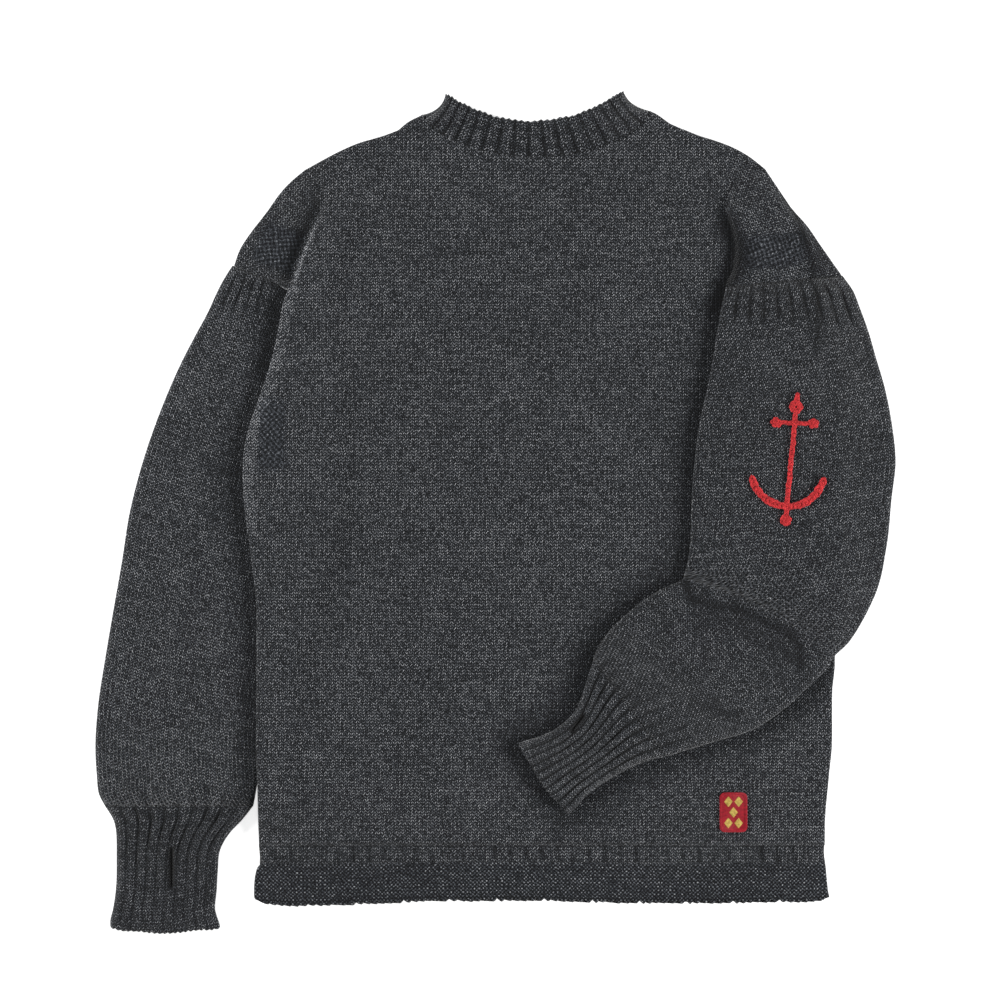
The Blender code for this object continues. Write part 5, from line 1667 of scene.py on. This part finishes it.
def link_tube(start, way, stitch, height, draw):
    """The points of one link, a row for each place round it, and the link's length."""
    turns = np.linspace(0, math.tau, AROUND, endpoint=False)
    ring = np.linspace(0, math.tau, SIDES, endpoint=False)[None, :, None]
    side = np.array([-way[1], way[0]])
    start = start + side * draw.uniform(-SEWN_UNEVENLY, SEWN_UNEVENLY)
    length = stitch.length * draw.uniform(0.88, 1.12)
    ahead = length / 2 * (1 - np.cos(turns))
    out = stitch.width * draw.uniform(0.8, 1.2) / 2 * np.sin(turns) * (0.45 + 0.55 * ahead / length)
    flat = start + ahead[:, None] * way + out[:, None] * side
    rise = np.array([height(*p) for p in flat]) + stitch.strand * (0.55 + 0.7 * np.cos(turns / 2) ** 8)
    centre = np.column_stack([flat, rise])
    forward = np.roll(centre, -1, axis=0) - np.roll(centre, 1, axis=0)
    forward /= np.linalg.norm(forward, axis=1)[:, None]
    outward = np.cross(forward, (0, 0, 1.0))
    outward /= np.linalg.norm(outward, axis=1)[:, None]
    upward = np.cross(outward, forward)
    round_it = np.cos(ring) * outward[:, None] + np.sin(ring) * upward[:, None]
    return centre[:, None] + stitch.strand * round_it, length


def sew(name, material, height, links, seed):
    """One mesh of all the links: a closed tube of yarn for each, pointed where it begins."""
    draw = random.Random(seed)
    cloth = Knit()
    for number, (start, way, stitch) in enumerate(links):
        tube, length = link_tube(start, way, stitch, height, draw)
        along_yarn = length * np.arange(AROUND)[:, None] / AROUND * 2 + 50.0 * number
        numbers = cloth.grid(*np.moveaxis(tube, -1, 0), along_yarn, np.arange(SIDES) / SIDES * 4)
        closed = np.vstack([numbers, numbers[:1]])
        cloth.weave(np.hstack([closed, closed[:, :1]]))
    return cloth.piece(name, material)


print("faces of one link:", AROUND * SIDES)

# %% [markdown]
# ## Coloured yarns
#
# The red of the chain stitch and of the patch, and the gold of its motif, are dyed yarns. Each is
# twisted from strands. One flat colour would look like plastic, so fine slanting lines run along the
# yarn and its tone varies a little.

# %% Dyed yarns
def dyed_yarn(name, dark, light, twist, sheen, roughness):
    """A yarn between two tones, with one slanting line for each twist of its strands, in metres."""
    paint = Paint(name)
    place = paint.knit_place()
    x, y, _ = paint.split("ShaderNodeSeparateXYZ", place)
    slant = paint.math("FRACT", paint.scaled(x, 1 / twist, paint.times(y, 1000.0)))
    strand = paint.wave(slant, math.pi)
    own = paint.noise(place, 420.0, 3.0, 0.7)
    tone = paint.scaled(strand, 0.45, paint.scaled(own, 2.2, -0.85))
    paint.bump(strand, 0.0003, 0.6)
    return paint.finish(
        Base_Color=paint.ramp(tone, [(0.0, dark), (1.0, light)]), Roughness=roughness,
        Specular_IOR_Level=0.25, Sheen_Weight=sheen, Sheen_Roughness=0.4,
    )


red_wool = dyed_yarn("anchor_red_wool", (0.16, 0.004, 0.007), (0.95, 0.055, 0.062), 0.0016, 0.15, 0.85)
red_thread = dyed_yarn("patch_red_thread", (0.16, 0.002, 0.008), (0.52, 0.012, 0.03), 0.0006, 0.1, 0.6)
gold_thread = dyed_yarn("patch_gold_thread", (0.35, 0.20, 0.02), (0.95, 0.74, 0.20), 0.0006, 0.05, 0.45)
anchor = sew("anchor_stitches", red_wool, sleeve_surface(right_sleeve), links, 21)
print("yarns:", red_wool.name, red_thread.name, gold_thread.name)

# %% [markdown]
# ## The patch
#
# A small embroidered patch with a merrowed edge, that is, a rim wound closely with thread. Its
# motif is five lozenges in gold satin stitch, parallel threads that lie side by side. Ground and rim
# are one shell of rings from the middle outwards, because a rim made as a part of its own would cut
# into the ground. The threads of the motif are modelled one by one, since each has its own light.

# %% The patch's ground and rim
PATCH_MIDDLE = (214.0, -270.5)
PATCH_SIZE = (25.0, 36.0)
PATCH_CORNER = 5.0
PATCH_BOTTOM = BODY_TOP + 0.3
RIM_WIDTH, RIM_STITCHES = 2.2, 76


def rounded_outline(width, height, corner, steps):
    """Evenly spaced points round a rectangle with round corners."""
    points = []
    for quarter, (sx, sy) in enumerate(((1, 1), (-1, 1), (-1, -1), (1, -1))):
        for turn in np.radians(90 * (quarter + np.linspace(0, 1, 9))):
            points.append((
                sx * (width / 2 - corner) + corner * math.cos(turn),
                sy * (height / 2 - corner) + corner * math.sin(turn),
            ))
    points = np.array(points + points[:1])
    lengths = np.append(0.0, np.cumsum(np.hypot(*np.diff(points, axis=0).T)))
    at = np.linspace(0, lengths[-1], steps, endpoint=False)
    return np.stack([np.interp(at, lengths, points[:, k]) for k in (0, 1)], 1)


def patch_piece():
    """Ground and rim in one closed shell: rings of points from the middle out, round the rim."""
    cloth = Knit()
    steps = RIM_STITCHES * 4
    outline = rounded_outline(*PATCH_SIZE, PATCH_CORNER, steps)
    wound = 0.16 * np.abs(np.sin(np.pi * np.arange(steps) * RIM_STITCHES / steps))
    shrink = lambda inset: outline * (1 - 2 * inset / np.array(PATCH_SIZE))
    profile = [(12.0, 0.75, 0), (8.0, 0.75, 0), (4.5, 0.72, 0), (RIM_WIDTH + 0.2, 0.66, 0)]
    for turn in math.pi * (1 - np.arange(8) / 7):
        profile.append((RIM_WIDTH / 2 * (1 - math.cos(turn)), 0.6 + 0.6 * math.sin(turn), 1))
    rings = []
    for inset, height, on_rim in profile:
        ring = shrink(inset) + np.array(PATCH_MIDDLE)
        z = PATCH_BOTTOM + height + wound * on_rim
        rings.append(cloth.grid(ring[:, 0], ring[:, 1], z, np.arange(steps) * 0.4, inset * 0.7))
    bottom = shrink(0.4) + np.array(PATCH_MIDDLE)
    rings.append(cloth.grid(bottom[:, 0], bottom[:, 1], PATCH_BOTTOM, np.arange(steps) * 0.4, 0.0))
    closed = [np.append(r, r[0]) for r in rings]
    cloth.weave(np.array(closed))
    for ring in (rings[0], rings[-1]):
        cloth.faces.append([int(n) for n in ring])
        cloth.corners.append(None)
    return cloth.piece("patch_embroidered", red_thread)


patch = patch_piece()


# %% The lozenges
LOZENGE_WIDTH, LOZENGE_HEIGHT = 7.2, 9.0
LOZENGE_PLACES = [(-4.6, 9.6), (4.6, 9.6), (0.0, 0.0), (-4.6, -9.6), (4.6, -9.6)]
THREAD = 0.62
THREAD_RISE = 0.55


def lozenge_piece():
    """Five lozenges, each a row of threads that arch from one edge to the other."""
    cloth = Knit()
    arch = np.linspace(0, math.pi, 9)
    bulge = np.linspace(0, math.pi, 5)
    for place_x, place_y in LOZENGE_PLACES:
        count = round(LOZENGE_HEIGHT / THREAD)
        for k in range(count):
            at = (k + 0.5) / count * 2 - 1
            half = LOZENGE_WIDTH / 2 * (1 - abs(at)) + 0.25
            x = PATCH_MIDDLE[0] + place_x - half * np.cos(arch)[:, None] + 0 * bulge
            y = PATCH_MIDDLE[1] + place_y + at * LOZENGE_HEIGHT / 2 - THREAD / 2 * np.cos(bulge) + 0 * x
            rise = np.sin(arch)[:, None] ** 0.5 * np.sin(bulge) ** 0.6
            top = cloth.grid(x, y, PATCH_BOTTOM + 0.7 + THREAD_RISE * rise, x, y)
            under = cloth.grid(x, y, PATCH_BOTTOM + 0.5, x, y)
            cloth.weave(top)
            cloth.weave(under)
            cloth.close_slab(top, under)
    return cloth.piece("patch_lozenges", gold_thread)


lozenges = lozenge_piece()

# %% [markdown]
# ## What each piece stands for
#
# A plain solid left under its shell would show through wherever the cloth is thinner. So each shell
# replaces its CAD solid, which is hidden, and rides on the one body.

# %% Riding and replacing
SHELLS = [  # piece, node, slot, width, length, area, how it is held, what it rests on
    (front_piece, "front", "charcoal_wool", 0.53, 0.64, 0.31, "laid", ["back"]),
    (back_piece, "back", "charcoal_wool", 0.53, 0.64, 0.31, "laid", []),
    (left_sleeve, "sleeve_left", "charcoal_wool", 0.33, 0.47, None, "laid", []),
    (left_cuff, "cuff_left", "charcoal_rib", 0.21, 0.11, None, "laid", []),
    (right_sleeve, "sleeve_right", "charcoal_wool", 0.33, 0.47, None, "folded", ["front"]),
    (right_cuff, "cuff_right", "charcoal_rib", 0.17, 0.11, None, "folded", ["front"]),
    (neckband, "neckband", "charcoal_rib", 0.45, 0.04, None, "laid", []),
    (front_welt, "welt_front", "charcoal_rib", 0.52, 0.052, None, "laid", ["welt_back"]),
    (back_welt, "welt_back", "charcoal_rib", 0.52, 0.052, None, "laid", []),
]
for piece, node, slot, width, length, area, held, below in SHELLS:
    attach(piece, "root")
    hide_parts(node)
    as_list(below)
for piece, slot in ((patch, "patch_red"), (lozenges, "patch_gold")):
    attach(piece, "root")
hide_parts("patch")
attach(anchor, "root")
print("shells:", len(SHELLS))

# %% [markdown]
# ## Floor and light
#
# A pale floor under large soft lights. In the picture it is pure white, while the wool keeps its soft
# shadows. More light alone would wash out the wool, so the floor also gives some light of its own.
# One light comes from the right and a little from below the picture, and one from the left and a
# little from above, so that folds and ribs are shaded on both sides. A weak one overhead fills in.

# %% The floor
FLOOR_SIZE = 6.0

floor_paint = Paint("pale_floor")
floor_place = floor_paint.nodes.new("ShaderNodeTexCoord").outputs["Object"]
floor_tones = [(0.0, (0.93, 0.93, 0.93)), (1.0, (0.96, 0.96, 0.96))]
floor_paint.finish(
    Base_Color=floor_paint.ramp(floor_paint.noise(floor_place, 60.0, 2.0), floor_tones),
    Roughness=0.9, Specular_IOR_Level=0.1, Emission_Color=(1, 1, 1, 1), Emission_Strength=0.62,
)
floor_mesh = bpy.data.meshes.new("studio_floor")
half = FLOOR_SIZE / 2
corners = [(-half, -half, 0), (half, -half, 0), (half, half, 0), (-half, half, 0)]
floor_mesh.from_pydata(corners, [], [(0, 1, 2, 3)])
floor_mesh.materials.append(floor_paint.material)
floor = bpy.data.objects.new("studio_floor", floor_mesh)
floor.location.z = -0.0004  # just under the wool, so that the two never share a plane
bpy.context.scene.collection.objects.link(floor)
floor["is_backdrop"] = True
print("floor, m:", FLOOR_SIZE)


# %% The lights
def soft_light(name, place, size, watts):
    """A large square light that looks at the garment."""
    data = bpy.data.lights.new(name, "AREA")
    data.size, data.energy = size, watts
    light = bpy.data.objects.new(name, data)
    light.location = place
    light.rotation_euler = (-Vector(place)).to_track_quat("-Z", "Y").to_euler()
    bpy.context.scene.collection.objects.link(light)


soft_light("light_from_the_right", (2.55, -0.7, 0.95), 0.6, 76)
soft_light("light_from_the_left", (-2.5, 0.8, 0.95), 0.6, 82)
soft_light("light_from_above", (0.2, 0.2, 2.9), 2.2, 9)
world = bpy.data.worlds.new("studio")
world.use_nodes = True
world.node_tree.nodes["Background"].inputs["Color"].default_value = (1, 1, 1, 1)
world.node_tree.nodes["Background"].inputs["Strength"].default_value = 0.22
bpy.context.scene.view_settings.view_transform = "Standard"
bpy.context.scene.world = world
print("lights:", len([o for o in bpy.data.objects if o.type == "LIGHT"]))

# %% [markdown]
# ## Sizes
#
# The dressed garment keeps to the CAD model's box, apart from the little that wool may stand proud.
# A render doesn't show that, so both boxes are printed side by side.

# %% The two boxes
dressed_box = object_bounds()
boxes = {"cad": [list(corner) for corner in cad_box], "visual": [list(corner) for corner in dressed_box]}
for name, (low, high) in boxes.items():
    print(name, [round((b - a) / MM, 1) for a, b in zip(low, high)])
